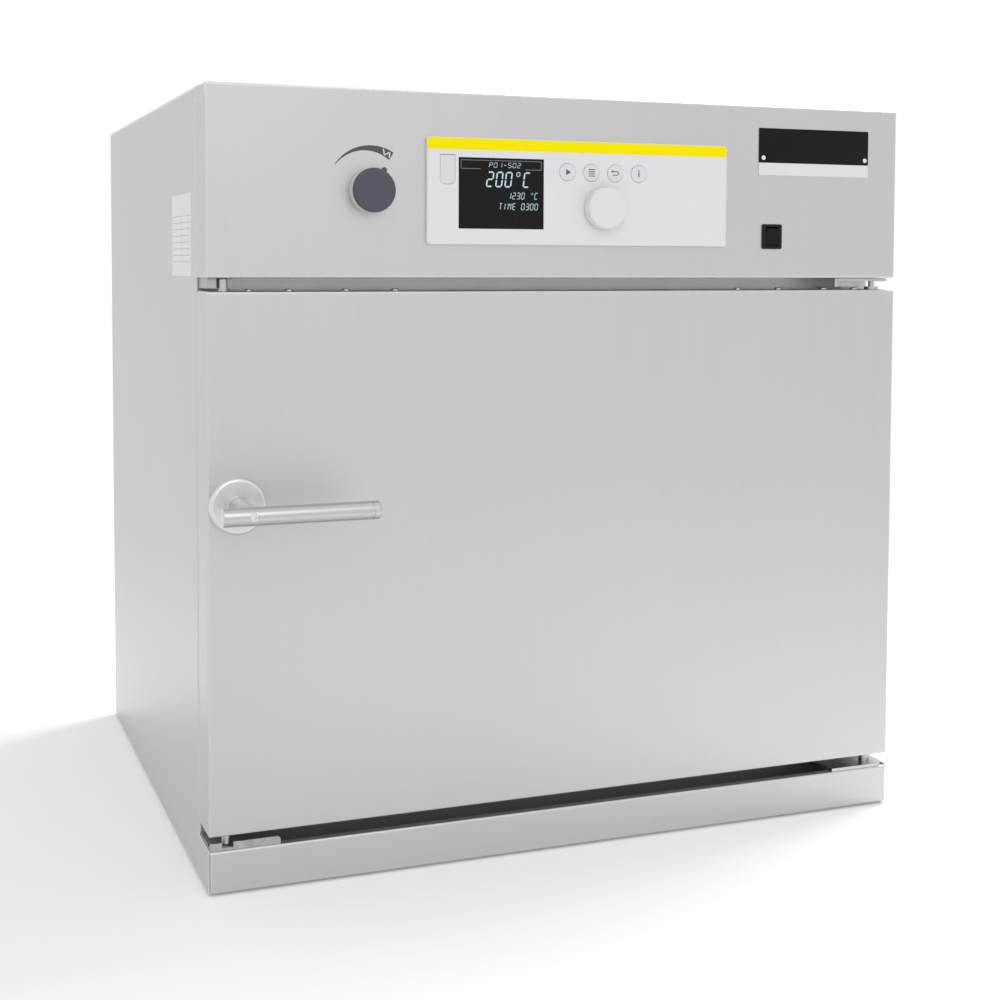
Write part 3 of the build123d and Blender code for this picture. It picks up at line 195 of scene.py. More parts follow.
def moulded(name, colour, roughness, texture_scale=900.0, depth_mm=0.03, edge_mm=0.4, sheen=0.5):
    """Moulded plastic with a fine eroded surface and a painted highlight along its edges."""
    material, tree, shader = start_material(name, colour, roughness)
    shader.inputs["Specular IOR Level"].default_value = sheen
    grain = speckle(tree, surface_place(tree, (1, 1, 1)), texture_scale, detail=2)
    cloud = speckle(tree, surface_place(tree, (1, 1, 1)), 30, detail=2)
    dark = tuple(c * 0.965 for c in colour)
    light = tuple(min(1, c * 1.02 + 0.002) for c in colour)
    body = blend_colours(tree, combine(tree, grain, cloud, "MULTIPLY"), dark, light)
    # Painted highlight: the colour is lightened along the edges.
    edge_highlight_colour = tuple(min(1, c * 1.08 + 0.02) for c in colour)
    tree.links.new(blend_colours(tree, edge_highlight_mask(tree, 0.5), body, edge_highlight_colour), shader.inputs["Base Color"])
    tree.links.new(spread(tree, cloud, roughness - 0.04, roughness + 0.06), shader.inputs["Roughness"])
    relief(tree, shader, grain, depth_mm, 0.4, edge_mm=edge_mm)
    return material


def two_tone_knob(name, cap, skirt, cap_back_mm):
    """The vent knob: a dark smooth cap on a paler moulded skirt, which starts at cap_back_mm along Y."""
    step, blur = cap_back_mm * MM, 0.0001
    material, tree, shader = start_material(name, cap, 0.38)
    place = tree.nodes.new("ShaderNodeSeparateXYZ")
    tree.links.new(surface_place(tree, (1, 1, 1)), place.inputs["Vector"])
    behind = spread(tree, place.outputs["Y"], 0, 1, step - blur, step + blur)
    grain = speckle(tree, surface_place(tree, (1, 1, 1)), 1300, detail=2)
    cap_colour = blend_colours(tree, grain, tuple(c * 0.9 for c in cap), tuple(c * 1.12 for c in cap))
    skirt_colour = blend_colours(tree, grain, tuple(c * 0.96 for c in skirt), skirt)
    tree.links.new(blend_colours(tree, behind, cap_colour, skirt_colour), shader.inputs["Base Color"])
    tree.links.new(spread(tree, grain, 0.34, 0.44), shader.inputs["Roughness"])
    relief(tree, shader, grain, 0.02, 0.4, edge_mm=0.5)
    return material


def mineral_wool(name, colour):
    """Matted fibres of an insulation slab."""
    material, tree, shader = start_material(name, colour, 0.95)
    fibres = speckle(tree, surface_place(tree, (60, 60, 420)), 1.0, detail=6, roughness=0.7)
    tufts = speckle(tree, surface_place(tree, (28, 28, 28)), 1.0, detail=4)
    dark = tuple(c * 0.6 for c in colour)
    matted = blend_colours(tree, combine(tree, fibres, tufts, "MULTIPLY"), dark, colour)
    tree.links.new(matted, shader.inputs["Base Color"])
    relief(tree, shader, combine(tree, fibres, tufts), 1.2, 0.8)
    return material


def silicone(name, colour):
    """A soft extruded seal with patches of pale dust."""
    material, tree, shader = start_material(name, colour, 0.6)
    dust = speckle(tree, surface_place(tree, (1, 1, 1)), 220, detail=4)
    pale = tuple(min(1, c * 1.25 + 0.03) for c in colour)
    tree.links.new(blend_colours(tree, spread(tree, dust, 0, 0.6), colour, pale), shader.inputs["Base Color"])
    tree.links.new(spread(tree, dust, 0.52, 0.74), shader.inputs["Roughness"])
    relief(tree, shader, dust, 0.08, 0.5, edge_mm=0.6)
    return material


def heat_tinted(name):
    """A steel tube sheath, coloured by heat."""
    material, tree, shader = start_material(name, (0.2, 0.16, 0.13), 0.45, metallic=0.9)
    bands = speckle(tree, surface_place(tree, (22, 22, 22)), 1.0, detail=3)
    straw = blend_colours(tree, bands, (0.10, 0.09, 0.10), (0.36, 0.25, 0.14))
    tree.links.new(straw, shader.inputs["Base Color"])
    tree.links.new(spread(tree, bands, 0.38, 0.6), shader.inputs["Roughness"])
    relief(tree, shader, speckle(tree, surface_place(tree, (1, 1, 1)), 700), 0.03, 0.4)
    return material


def baked_paint(name, colour):
    """Stove enamel with a slight orange peel and a painted highlight along its edges."""
    material, tree, shader = start_material(name, colour, 0.42)
    peel = speckle(tree, surface_place(tree, (1, 1, 1)), 420, detail=2)
    # Painted highlight: the colour is lightened along the edges.
    light = tuple(min(1, c * 1.3 + 0.01) for c in colour)
    tree.links.new(blend_colours(tree, edge_highlight_mask(tree, 0.8), colour, light), shader.inputs["Base Color"])
    tree.links.new(spread(tree, peel, 0.34, 0.5), shader.inputs["Roughness"])
    relief(tree, shader, peel, 0.06, 0.5, edge_mm=0.6)
    return material


def printed_film(name, colour, roughness, shade=0.97, sheen=0.5):
    """A printed or anodised film: even colour with a faint waviness."""
    material, tree, shader = start_material(name, colour, roughness)
    shader.inputs["Specular IOR Level"].default_value = sheen
    wave = speckle(tree, surface_place(tree, (1, 1, 1)), 160, detail=3)
    dark = tuple(c * shade for c in colour)
    tree.links.new(blend_colours(tree, wave, dark, colour), shader.inputs["Base Color"])
    tree.links.new(spread(tree, wave, roughness - 0.04, roughness + 0.06), shader.inputs["Roughness"])
    relief(tree, shader, wave, 0.01, 0.3)
    return material


def dark_window(name):
    """The black display window under a clear gloss."""
    material, tree, shader = start_material(name, (0.008, 0.008, 0.009), 0.2)
    shader.inputs["Specular IOR Level"].default_value = 0.12
    prints = speckle(tree, surface_place(tree, (1, 1, 1)), 90, detail=4)
    smudged = blend_colours(tree, prints, (0.006, 0.006, 0.007), (0.012, 0.012, 0.013))
    tree.links.new(smudged, shader.inputs["Base Color"])
    tree.links.new(spread(tree, prints, 0.16, 0.30), shader.inputs["Roughness"])
    relief(tree, shader, prints, 0.004, 0.2)
    return material


def lit_segments(name, colour, strength):
    """The display's lit segments, with a slightly uneven glow."""
    material, tree, shader = start_material(name, (0.02, 0.02, 0.02), 0.5)
    uneven = speckle(tree, surface_place(tree, (1, 1, 1)), 500, detail=2)
    dim = tuple(c * 0.85 for c in colour)
    tree.links.new(blend_colours(tree, uneven, dim, colour), shader.inputs["Emission Color"])
    shader.inputs["Emission Strength"].default_value = strength
    relief(tree, shader, uneven, 0.01, 0.2)
    return material


KNOB_CAP_BACK = -306.0  # in millimetres

casing_steel = ground_steel("casing_steel", (0.57, 0.568, 0.57), 0.42)
lid_steel = ground_steel("lid_steel", (0.57, 0.568, 0.57), 0.42, run=(1, 0.02, 1))
chamber_steel = ground_steel("chamber_steel", (0.55, 0.55, 0.56), 0.36, run=(1, 0.03, 1))
chamber_front_steel = ground_steel("chamber_front_steel", (0.57, 0.57, 0.575), 0.38)
rosette_steel = ground_steel("rosette_steel", (0.68, 0.68, 0.69), 0.36, run=(1, 1, 0.05))
lever_steel = turned_steel("lever_steel", (0.54, 0.535, 0.53), 0.24, (40, 1600, 1600))
cap_steel = turned_steel("cap_steel", (0.56, 0.555, 0.55), 0.22, (1500, 80, 80))
bright_steel = turned_steel("bright_steel", (0.72, 0.72, 0.72), 0.16, (900, 900, 900))
machined_steel = turned_steel("machined_steel", (0.52, 0.52, 0.53), 0.3, (1200, 1200, 1200))
wire_steel = turned_steel("wire_steel", (0.60, 0.60, 0.61), 0.22, (500, 500, 500))
stub_steel = turned_steel("stub_steel", (0.56, 0.56, 0.565), 0.33, (40, 1300, 40))
zinc_steel = zinc_sheet("zinc_steel", (0.45, 0.47, 0.48))
controller_white = moulded("controller_white", (0.80, 0.805, 0.82), 0.42)
key_white = moulded("key_white", (0.76, 0.765, 0.78), 0.36, depth_mm=0.015)
dial_white = moulded("dial_white", (0.80, 0.805, 0.815), 0.34, depth_mm=0.015, edge_mm=0.9)
flap_white = moulded("flap_white", (0.74, 0.745, 0.76), 0.45)
black_moulding = moulded("black_moulding", (0.010, 0.010, 0.011), 0.4, sheen=0.18)
rocker_black = moulded("rocker_black", (0.007, 0.007, 0.008), 0.32, depth_mm=0.01, sheen=0.15)
nylon = moulded("nylon", (0.66, 0.66, 0.61), 0.5)
foot_rubber = moulded("foot_rubber", (0.02, 0.02, 0.02), 0.75, texture_scale=400)
knob_mix = two_tone_knob("knob_mix", (0.062, 0.064, 0.088), (0.62, 0.61, 0.58), KNOB_CAP_BACK)
slab_wool = mineral_wool("slab_wool", (0.62, 0.55, 0.36))
seal_red = silicone("seal_red", (0.33, 0.05, 0.03))
sheath = heat_tinted("sheath")
motor_enamel = baked_paint("motor_enamel", (0.035, 0.038, 0.042))
sink_metal = turned_steel("sink_metal", (0.62, 0.62, 0.64), 0.4, (40, 900, 40))
display_black = dark_window("display_black")

finishes = {
    casing_steel: (
        "left_side_panel", "right_side_panel", "rear_panel", "front_plinth", "control_fascia", "door_skin",
    ),
    lid_steel: ("top_cover",),
    chamber_steel: ("chamber_liner",),
    chamber_front_steel: ("front_frame", "door_inner_panel", "air_baffle", "shelf_racks"),
    rosette_steel: ("handle_rosette",),
    lever_steel: ("handle_lever",),
    cap_steel: ("handle_end_caps",),
    bright_steel: ("handle_screw",),
    wire_steel: ("wire_shelf",),
    stub_steel: ("exhaust_stub",),
    machined_steel: (
        "lock_pinion", "upper_lock_rod", "lower_lock_rod", "hinge_bushes", "door_screws", "casing_screws",
        "vent_rod", "encoder_shaft", "usb_socket", "temperature_sensor",
        "upper_hinge_bracket", "lower_hinge_bracket",
    ),
    zinc_steel: (
        "base_panel", "component_tray", "exhaust_duct", "valve_plate", "motor_bracket", "lock_case",
        "upper_keeper", "lower_keeper", "fan_wheel",
    ),
    controller_white: ("controller_housing",),
    key_white: ("play_key", "list_key", "back_key", "info_key"),
    dial_white: ("jog_dial",),
    flap_white: ("usb_flap",),
    black_moulding: ("switch_housing", "cable_gland"),
    rocker_black: ("rocker",),
    nylon: ("rod_guides",),
    foot_rubber: ("levelling_feet",),
    knob_mix: ("vent_knob",),
    slab_wool: ("wrap_insulation", "rear_insulation", "door_insulation"),
    seal_red: ("door_gasket",),
    sheath: ("heating_elements",),
    motor_enamel: ("fan_motor",),
    sink_metal: ("solid_state_relay",),
    display_black: ("display_window",),
}

for material, names in finishes.items():
    for name in names:
        nodes[name].data.materials.clear()
        nodes[name].data.materials.append(material)


# Modelling steps used again and again

def deselect_all():
    bpy.ops.object.select_all(action="DESELECT")


def make_active(piece):
    deselect_all()
    piece.select_set(True)
    bpy.context.view_layer.objects.active = piece


def add_plate(name, x, y, z):
    """A plate blank; x, y and z are its lowest and highest place in millimetres."""
    deselect_all()
    middle = [(a + b) / 2 * MM for a, b in (x, y, z)]
    bpy.ops.mesh.primitive_cube_add(size=1, location=middle)
    piece = bpy.context.active_object
    piece.name = piece.data.name = name
    piece.scale = [(b - a) * MM for a, b in (x, y, z)]
    bpy.ops.object.transform_apply(location=True, rotation=True, scale=True)
    return piece


def add_disc(name, x, z, radius, y, sides):
    """A round blank along Y; sizes in millimetres."""
    deselect_all()
    bpy.ops.mesh.primitive_cylinder_add(
        vertices=sides, radius=radius * MM, depth=(y[1] - y[0]) * MM,
        location=(x * MM, (y[0] + y[1]) / 2 * MM, z * MM), rotation=(math.pi / 2, 0, 0),
    )
    piece = bpy.context.active_object
    piece.name = piece.data.name = name
    bpy.ops.object.transform_apply(location=True, rotation=True, scale=True)
    return piece


def select_edges(piece, wanted):
    """Enters edit mode with the edges selected whose two end points pass the test."""
    make_active(piece)
    bpy.ops.object.mode_set(mode="EDIT")
    bpy.ops.mesh.select_mode(type="EDGE")
    bpy.ops.mesh.select_all(action="DESELECT")
    bpy.ops.object.mode_set(mode="OBJECT")
    points = piece.data.vertices
    for edge in piece.data.edges:
        a, b = (points[i].co for i in edge.vertices)
        edge.select = wanted(a, b)
    bpy.ops.object.mode_set(mode="EDIT")


def select_faces(piece, wanted):
    """Enters edit mode with the faces selected that pass the test."""
    make_active(piece)
    bpy.ops.object.mode_set(mode="EDIT")
    bpy.ops.mesh.select_mode(type="FACE")
    bpy.ops.mesh.select_all(action="DESELECT")
    bpy.ops.object.mode_set(mode="OBJECT")
    for face in piece.data.polygons:
        face.select = wanted(face)
    bpy.ops.object.mode_set(mode="EDIT")


def leave_edit():
    bpy.ops.object.mode_set(mode="OBJECT")


def bevel(piece, wanted, radius, segments):
    """Rounds the edges whose two end points pass the test; the radius is in millimetres."""
    select_edges(piece, wanted)
    bpy.ops.mesh.bevel(offset=radius * MM, segments=segments, affect="EDGES")
    leave_edit()


def crosses_y(a, b):
    """True for an edge that isn't level with the front."""
    return abs(a.y - b.y) > SAME_PLACE


def crosses_x(a, b):
    """True for an edge that isn't level with the side."""
    return abs(a.x - b.x) > SAME_PLACE


def runs_along_y(a, b):
    return crosses_y(a, b) and abs(a.x - b.x) < SAME_PLACE and abs(a.z - b.z) < SAME_PLACE


def front_place(piece):
    return min(v.co.y for v in piece.data.vertices)


def ease_front(piece, radius, segments=2):
    """Breaks the front edges of a plate or disc; the radius is in millimetres."""
    limit = front_place(piece) + SAME_PLACE
    bevel(piece, lambda a, b: a.y < limit and b.y < limit, radius, segments)


def join(pieces, name):
    """Several blanks as one piece."""
    deselect_all()
    for piece in pieces:
        piece.select_set(True)
    bpy.context.view_layer.objects.active = pieces[0]
    bpy.ops.object.join()
    joined = bpy.context.active_object
    joined.name = joined.data.name = name
    return joined


def dress(piece, material, body):
    """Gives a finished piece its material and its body."""
    piece.data.materials.clear()
    piece.data.materials.append(material)
    make_active(piece)
    bpy.ops.object.shade_smooth_by_angle(angle=math.radians(35))
    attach(piece, body)
    return piece


# Places that the CAD nodes give, in millimetres

def node_span(name, axis):
    low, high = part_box(name)
    return low[axis] / MM, high[axis] / MM


FRONT = node_span("control_fascia", 1)[0]
CONTROLLER_X = node_span("controller_housing", 0)
CONTROLLER_Z = node_span("controller_housing", 2)
CONTROLLER_FRONT = node_span("controller_housing", 1)[0]
DISPLAY_X = node_span("display_window", 0)
DISPLAY_Z = node_span("display_window", 2)
DISPLAY_FRONT = node_span("display_window", 1)[0]
KNOB_X = sum(node_span("vent_rod", 0)) / 2
KNOB_Z = 619.7  # the height of the vent rod's axis


# Controller: yellow stripe, display, symbols

stripe_yellow = printed_film("stripe_yellow", (1.0, 0.86, 0.0), 0.5, shade=0.985, sheen=0.06)
symbol_grey = printed_film("symbol_grey", (0.11, 0.11, 0.12), 0.5, shade=0.9)
segment_glow = lit_segments("segment_glow", (0.62, 0.82, 0.92), 0.9)
header_glow = lit_segments("header_glow", (0.30, 0.36, 0.40), 0.55)


def make_stripe():
    """The printed stripe along the controller's upper edge."""
    film, side_gap, top_gap, lower_edge, corner_radius = 0.12, 0.6, 0.8, 11.0, 1.6
    stripe = add_plate(
        "controller_stripe",
        (CONTROLLER_X[0] + side_gap, CONTROLLER_X[1] - side_gap),
        (CONTROLLER_FRONT - film, CONTROLLER_FRONT),
        (CONTROLLER_Z[1] - lower_edge, CONTROLLER_Z[1] - top_gap),
    )
    near_top = CONTROLLER_Z[1] * MM - 0.0012
    bevel(stripe, lambda a, b: crosses_y(a, b) and a.z > near_top and b.z > near_top, corner_radius, 5)
    dress(stripe, stripe_yellow, "housing")


PRINT_DEPTH = 0.06  # how far lit bars and key symbols stand out, in millimetres

# The bars of each figure: a, g and d from top to bottom, f and b above, e and c below, h and i in the middle.
SEGMENTS = {
    "0": "abcdef", "1": "bc", "2": "abged", "3": "abgcd", "S": "afgcd", "C": "adef", "P": "abefg",
    "-": "g", "T": "ahi", "I": "hi", "M": "bcefh", "E": "adefg", "*": "abfg",
}
FIGURE_WIDTH = 0.62  # share of the pitch
BAR_WIDTH = 0.10  # share of the figure's height
FLAT_LENGTH, UPRIGHT_LENGTH = 0.86, 0.90  # shares of the room between the corners
BAR_POINT = 0.46  # share of the bar's width that its pointed ends take
DEGREE_SIZE, DEGREE_LIFT = 0.55, 0.24  # the degree sign's size, and how high it sits in its figure
FIGURE_SLANT = 0.13

# Piece, text, inset of its right end, height of its foot, height of a figure, pitch; lengths in millimetres.
DISPLAY_MARGIN = 6.0
DISPLAY_ROWS = (
    ("display_reading", "200*C", 8.0, 625.6, 13.0, 9.0),
    ("display_second_line", "1230 *C", 0.0, 614.6, 5.6, 4.4),
    ("display_third_line", "TIME 0300", 0.0, 604.8, 5.6, 4.4),
    ("display_header", "P01-S02", 17.0, 643.0, 4.2, 4.6),
)


def segment_blank(length, width):
    """One lit bar with pointed ends, lying along X at the origin; millimetres."""
    bar = add_plate("segment_blank", (-length / 2, length / 2), (-PRINT_DEPTH, 0), (-width / 2, width / 2))
    bevel(bar, crosses_y, width * BAR_POINT, 1)
    return bar


def write_segments(name, text, right, bottom, height, pitch):
    """A row of segment figures that ends at right; each figure is built of bars."""
    wide = pitch * FIGURE_WIDTH
    thick = height * BAR_WIDTH
    places = {
        "a": (0, height / 2, 0), "g": (0, 0, 0), "d": (0, -height / 2, 0),
        "f": (-wide / 2, height / 4, 90), "b": (wide / 2, height / 4, 90),
        "e": (-wide / 2, -height / 4, 90), "c": (wide / 2, -height / 4, 90),
        "h": (0, height / 4, 90), "i": (0, -height / 4, 90),
    }
    flat = segment_blank(wide * FLAT_LENGTH, thick)
    upright = segment_blank(height / 2 * UPRIGHT_LENGTH, thick)
    bars = []
    shear = Matrix.Identity(4)
    shear[0][2] = FIGURE_SLANT
    for number, figure in enumerate(reversed(text)):
        middle = right - wide / 2 - number * pitch
        for segment in SEGMENTS.get(figure, ""):
            x, z, turn = places[segment]
            small = DEGREE_SIZE if figure == "*" else 1.0
            lift = height * DEGREE_LIFT if figure == "*" else 0.0
            source = upright if turn else flat
            bar = source.copy()
            bar.data = source.data.copy()
            bpy.context.scene.collection.objects.link(bar)
            bar.data.transform(Matrix.Rotation(math.radians(turn), 4, "Y"))
            bar.data.transform(Matrix.Scale(small, 4))
            bar.data.transform(Matrix.Translation((x * small * MM, 0, (z * small + lift) * MM)))
            bar.data.transform(shear)
            bar.data.transform(
                Matrix.Translation((middle * MM, DISPLAY_FRONT * MM, (bottom + height / 2) * MM))
            )
            bars.append(bar)
    for blank in (flat, upright):
        bpy.data.objects.remove(blank)
    dress(join(bars, name), segment_glow, "housing")


def make_display():
    """The lit figures, and the outline round the uppermost row, open in the middle of its foot."""
    for name, text, inset, bottom, height, pitch in DISPLAY_ROWS:
        write_segments(name, text, DISPLAY_X[1] - DISPLAY_MARGIN - inset, bottom, height, pitch)
    margin, thin, left_foot, right_foot = 2.2, 0.5, 19, 16
    x0, x1 = DISPLAY_X[0] + margin, DISPLAY_X[1] - margin
    z0, z1 = 641.2, 649.4
    depth = (DISPLAY_FRONT - 0.05, DISPLAY_FRONT)
    bars = [
        add_plate("bar", (x0, x1), depth, (z1 - thin, z1)),
        add_plate("bar", (x0, x0 + thin), depth, (z0, z1)),
        add_plate("bar", (x1 - thin, x1), depth, (z0, z1)),
        add_plate("bar", (x0, x0 + left_foot), depth, (z0, z0 + thin)),
        add_plate("bar", (x1 - right_foot, x1), depth, (z0, z0 + thin)),
    ]
    dress(join(bars, "display_outline"), header_glow, "housing")


def key_middle(name):
    """The middle of a key in X and Z, and its front face in Y; millimetres."""
    low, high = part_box(name)
    return (low.x + high.x) / 2 / MM, (low.z + high.z) / 2 / MM, low.y / MM


def place_triangle(name, radius, turn, x, y, z):
    """A printed triangle that points along X, turned by degrees about Y; the rest in millimetres."""
    triangle = add_disc(name, 0, 0, radius, (-PRINT_DEPTH, 0), sides=3)
    triangle.data.transform(Matrix.Rotation(math.radians(turn), 4, "Y"))
    triangle.data.transform(Matrix.Translation((x * MM, y * MM, z * MM)))
    return triangle


def make_play_symbol():
    x, z, front = key_middle("play_key")
    symbol = place_triangle("play_symbol", 3.3, 90, x, front, z)
    ease_front(symbol, 0.02, 1)
    dress(symbol, symbol_grey, "play_button")


def make_list_symbol():
    """Four lines, one above the other."""
    x, z, front = key_middle("list_key")
    rows, top, pitch, reach, half = 4, 3.0, 2.0, 3.2, 0.45
    bars = []
    for row in range(rows):
        height = z + top - row * pitch
        depth = (front - PRINT_DEPTH, front)
        bars.append(add_plate("bar", (x - reach, x + reach), depth, (height - half, height + half)))
    dress(join(bars, "list_symbol"), symbol_grey, "list_button")


def make_back_symbol():
    """An arrow that turns back on itself."""
    x, z, front = key_middle("back_key")
    depth = (front - PRINT_DEPTH, front)
    top = add_plate("bar", (x - 2.2, x + 1.4), depth, (z + 1.3, z + 2.1))
    bottom = add_plate("bar", (x - 2.8, x + 1.4), depth, (z - 2.1, z - 1.3))
    turn = add_plate("turn", (x + 1.3, x + 1.4), depth, (z + 1.3, z + 2.1))
    select_faces(turn, lambda face: face.normal.x > 0.9)
    bpy.ops.mesh.spin(
        steps=14, angle=-math.pi, center=((x + 1.4) * MM, front * MM, z * MM), axis=(0, 1, 0), dupli=False
    )
    leave_edit()
    head = place_triangle("head", 1.7, -90, x - 3.0, front, z + 1.7)
    dress(join([top, bottom, turn, head], "back_symbol"), symbol_grey, "back_button")


def make_info_symbol():
    """A dot above a stem."""
    x, z, front = key_middle("info_key")
    depth = (front - PRINT_DEPTH, front)
    dot = add_disc("dot", x, z + 2.9, 0.75, depth, sides=20)
    stem = add_plate("stem", (x - 0.6, x + 0.6), depth, (z - 3.0, z + 1.5))
    dress(join([dot, stem], "info_symbol"), symbol_grey, "info_button")


# Fascia: vent scale, bare nameplate

scale_grey = printed_film("scale_grey", (0.085, 0.083, 0.078), 0.5, shade=0.85)
arrow_white = printed_film("arrow_white", (0.80, 0.80, 0.80), 0.5)
plate_black = printed_film("plate_black", (0.008, 0.008, 0.010), 0.35, shade=0.8, sheen=0.12)
plate_silver = printed_film("plate_silver", (0.80, 0.80, 0.81), 0.4, shade=0.96)
label_foil = printed_film("label_foil", (0.84, 0.84, 0.845), 0.4)
rule_grey = printed_film("rule_grey", (0.42, 0.42, 0.43), 0.5)


# The vent scale, in millimetres and degrees about the vent rod. In SCALE_RADIUS and SCALE_WIDTH the second
# number is what the far end adds to the first.
SCALE_STEPS = 40
SCALE_DEPTH, ARROW_DEPTH = 0.10, 0.05
SCALE_START, SCALE_TURN = 144.5, 87
SCALE_RADIUS = (39.6, 0.9)
SCALE_WIDTH = (0.6, 7.4)
SCALE_SWELL = 1.15
# The arrow's three strokes, each from one place to another, counted from the vent rod.
ARROW_STROKES = ((12.2, 37.4, 13.2, 31.8), (13.2, 31.8, 18.4, 34.6), (18.4, 34.6, 17.6, 29.4))
ARROW_HALF_WIDTH = 0.5


def make_vent_scale():
    """The printed crescent above the knob, thin at the left and broad at the right, and the arrow on it."""
    crescent = add_plate("vent_scale", (0, 1), (FRONT - SCALE_DEPTH, FRONT), (0, 1))
    select_edges(crescent, crosses_x)
    bpy.ops.mesh.subdivide(number_cuts=SCALE_STEPS)
    leave_edit()
    for point in crescent.data.vertices:
        along = point.co.x / MM
        across = point.co.z / MM
        angle = math.radians(SCALE_START - along * SCALE_TURN)
        outer = SCALE_RADIUS[0] + SCALE_RADIUS[1] * along
        inner = outer - SCALE_WIDTH[0] - SCALE_WIDTH[1] * along ** SCALE_SWELL
        radius = inner + (outer - inner) * across
        point.co.x = (KNOB_X + radius * math.cos(angle)) * MM
        point.co.z = (KNOB_Z + radius * math.sin(angle)) * MM
    dress(crescent, scale_grey, "housing")
    bars = []
    for x0, z0, x1, z1 in ARROW_STROKES:
        length = math.hypot(x1 - x0, z1 - z0)
        thickness = (-ARROW_HALF_WIDTH, ARROW_HALF_WIDTH)
        bar = add_plate("bar", (-length / 2, length / 2), (-ARROW_DEPTH, 0), thickness)
        bar.data.transform(Matrix.Rotation(math.atan2(z0 - z1, x1 - x0), 4, "Y"))
        middle = ((KNOB_X + (x0 + x1) / 2) * MM, (FRONT - SCALE_DEPTH) * MM, (KNOB_Z + (z0 + z1) / 2) * MM)
        bar.data.transform(Matrix.Translation(middle))
        bars.append(bar)
    dress(join(bars, "vent_scale_arrow"), arrow_white, "housing")


# The nameplate on the fascia, and the label on the left side; all in millimetres.
NAMEPLATE_X = (191.2, 316.2)
NAMEPLATE_BLACK_Z, NAMEPLATE_SILVER_Z = (654.9, 688.5), (642.6, 654.8)
NAMEPLATE_THICKNESS, NAMEPLATE_CORNER, NAMEPLATE_EASE = 0.8, 0.8, 0.2
NAMEPLATE_SCREWS_X, NAMEPLATE_SCREWS_Z = (195.8, 311.8), 659.6
SCREW_RADIUS, SCREW_DEPTH, SCREW_RIM, SCREW_DISH = 2.3, (1.9, 0.7), 0.5, 0.35
LABEL_Y, LABEL_Z = (-227.5, -125.5), (543.0, 618.0)
LABEL_THICKNESS, LABEL_CORNER, RULE_FRONT, RULE_HALF = 0.12, 2.0, 0.16, 0.25
RULE_ROWS, RULE_PITCH = 8, 6.0
RULES_Y, RULES_Z = (-221.0, -176.0, -132.0), (556.0, 598.0)


def make_nameplate():
    """A bare plate: black above, a silver strip below, and its two screws."""
    for name, z, film in (
        ("nameplate_black", NAMEPLATE_BLACK_Z, plate_black),
        ("nameplate_silver", NAMEPLATE_SILVER_Z, plate_silver),
    ):
        plate = add_plate(name, NAMEPLATE_X, (FRONT - NAMEPLATE_THICKNESS, FRONT), z)
        bevel(plate, runs_along_y, NAMEPLATE_CORNER, 3)
        ease_front(plate, NAMEPLATE_EASE)
        dress(plate, film, "housing")
    depth = (FRONT - SCREW_DEPTH[0], FRONT - SCREW_DEPTH[1])
    for number, x in enumerate(NAMEPLATE_SCREWS_X, start=1):
        head = add_disc("nameplate_screw_%d" % number, x, NAMEPLATE_SCREWS_Z, SCREW_RADIUS, depth, sides=32)
        ease_front(head, 0.6, 3)
        limit = front_place(head) + 10 * SAME_PLACE
        select_faces(head, lambda face: face.normal.y < -0.99 and face.center.y < limit)
        bpy.ops.mesh.inset(thickness=SCREW_RIM * MM)
        bpy.ops.transform.translate(value=(0, SCREW_DISH * MM, 0))
        leave_edit()
        dress(head, bright_steel, "housing")


def make_rating_label():
    """A foil label on the left side, with ruled lines only."""
    left = node_span("left_side_panel", 0)[0]
    label = add_plate("rating_label", (left - LABEL_THICKNESS, left), LABEL_Y, LABEL_Z)
    bevel(label, crosses_x, LABEL_CORNER, 4)
    dress(label, label_foil, "housing")
    depth = (left - RULE_FRONT, left - LABEL_THICKNESS)
    rules = []
    for row in range(RULE_ROWS):
        z = RULES_Z[0] + row * RULE_PITCH
        rules.append(add_plate("rule", depth, (RULES_Y[0], RULES_Y[-1]), (z - RULE_HALF, z + RULE_HALF)))
    for y in RULES_Y:
        rules.append(add_plate("rule", depth, (y - RULE_HALF, y + RULE_HALF), RULES_Z))
    dress(join(rules, "rating_label_rules"), rule_grey, "housing")


make_stripe()
make_display()
make_play_symbol()
make_list_symbol()
make_back_symbol()
make_info_symbol()
make_vent_scale()
make_nameplate()
make_rating_label()


# Floor, light and camera, in metres

WHITE = (1, 1, 1, 1)
FLOOR_SIZE, FLOOR_DROP = 40, 0.0002
FLOOR_FADE = (0.75, 1.7)  # how far from the middle the floor starts to turn white, and where it is white
FLOOR_LIFT = 0.10
WORLD_STRENGTH = 0.72
# Name, place, the point it faces, size, power in watts.
LAMPS = (
    ("key_lamp", (1.9, 0.9, 3.0), (0, 0, 0.3), 1.8, 85),
    ("fill_lamp", (-0.6, -3.4, 2.6), (0, 0, 0.5), 2.6, 24),
)
# The camera that was fitted to the photograph: lens and sensor in millimetres, turn in degrees.
CAMERA_PLACE = (-0.605, -1.6582, 0.5554)
CAMERA_TURN = (87.0, -0.196, -21.074)
CAMERA_LENS, CAMERA_SENSOR, CAMERA_SHIFT = 57.24, 36, -0.1531


def seen_directly(tree):
    """1 for the camera's rays and for those that a glossy or clear face sends on, 0 for all others."""
    ray = tree.nodes.new("ShaderNodeLightPath")
    either = combine(tree, ray.outputs["Is Camera Ray"], ray.outputs["Is Glossy Ray"], "MAXIMUM")
    return combine(tree, either, ray.outputs["Is Transmission Ray"], "MAXIMUM")


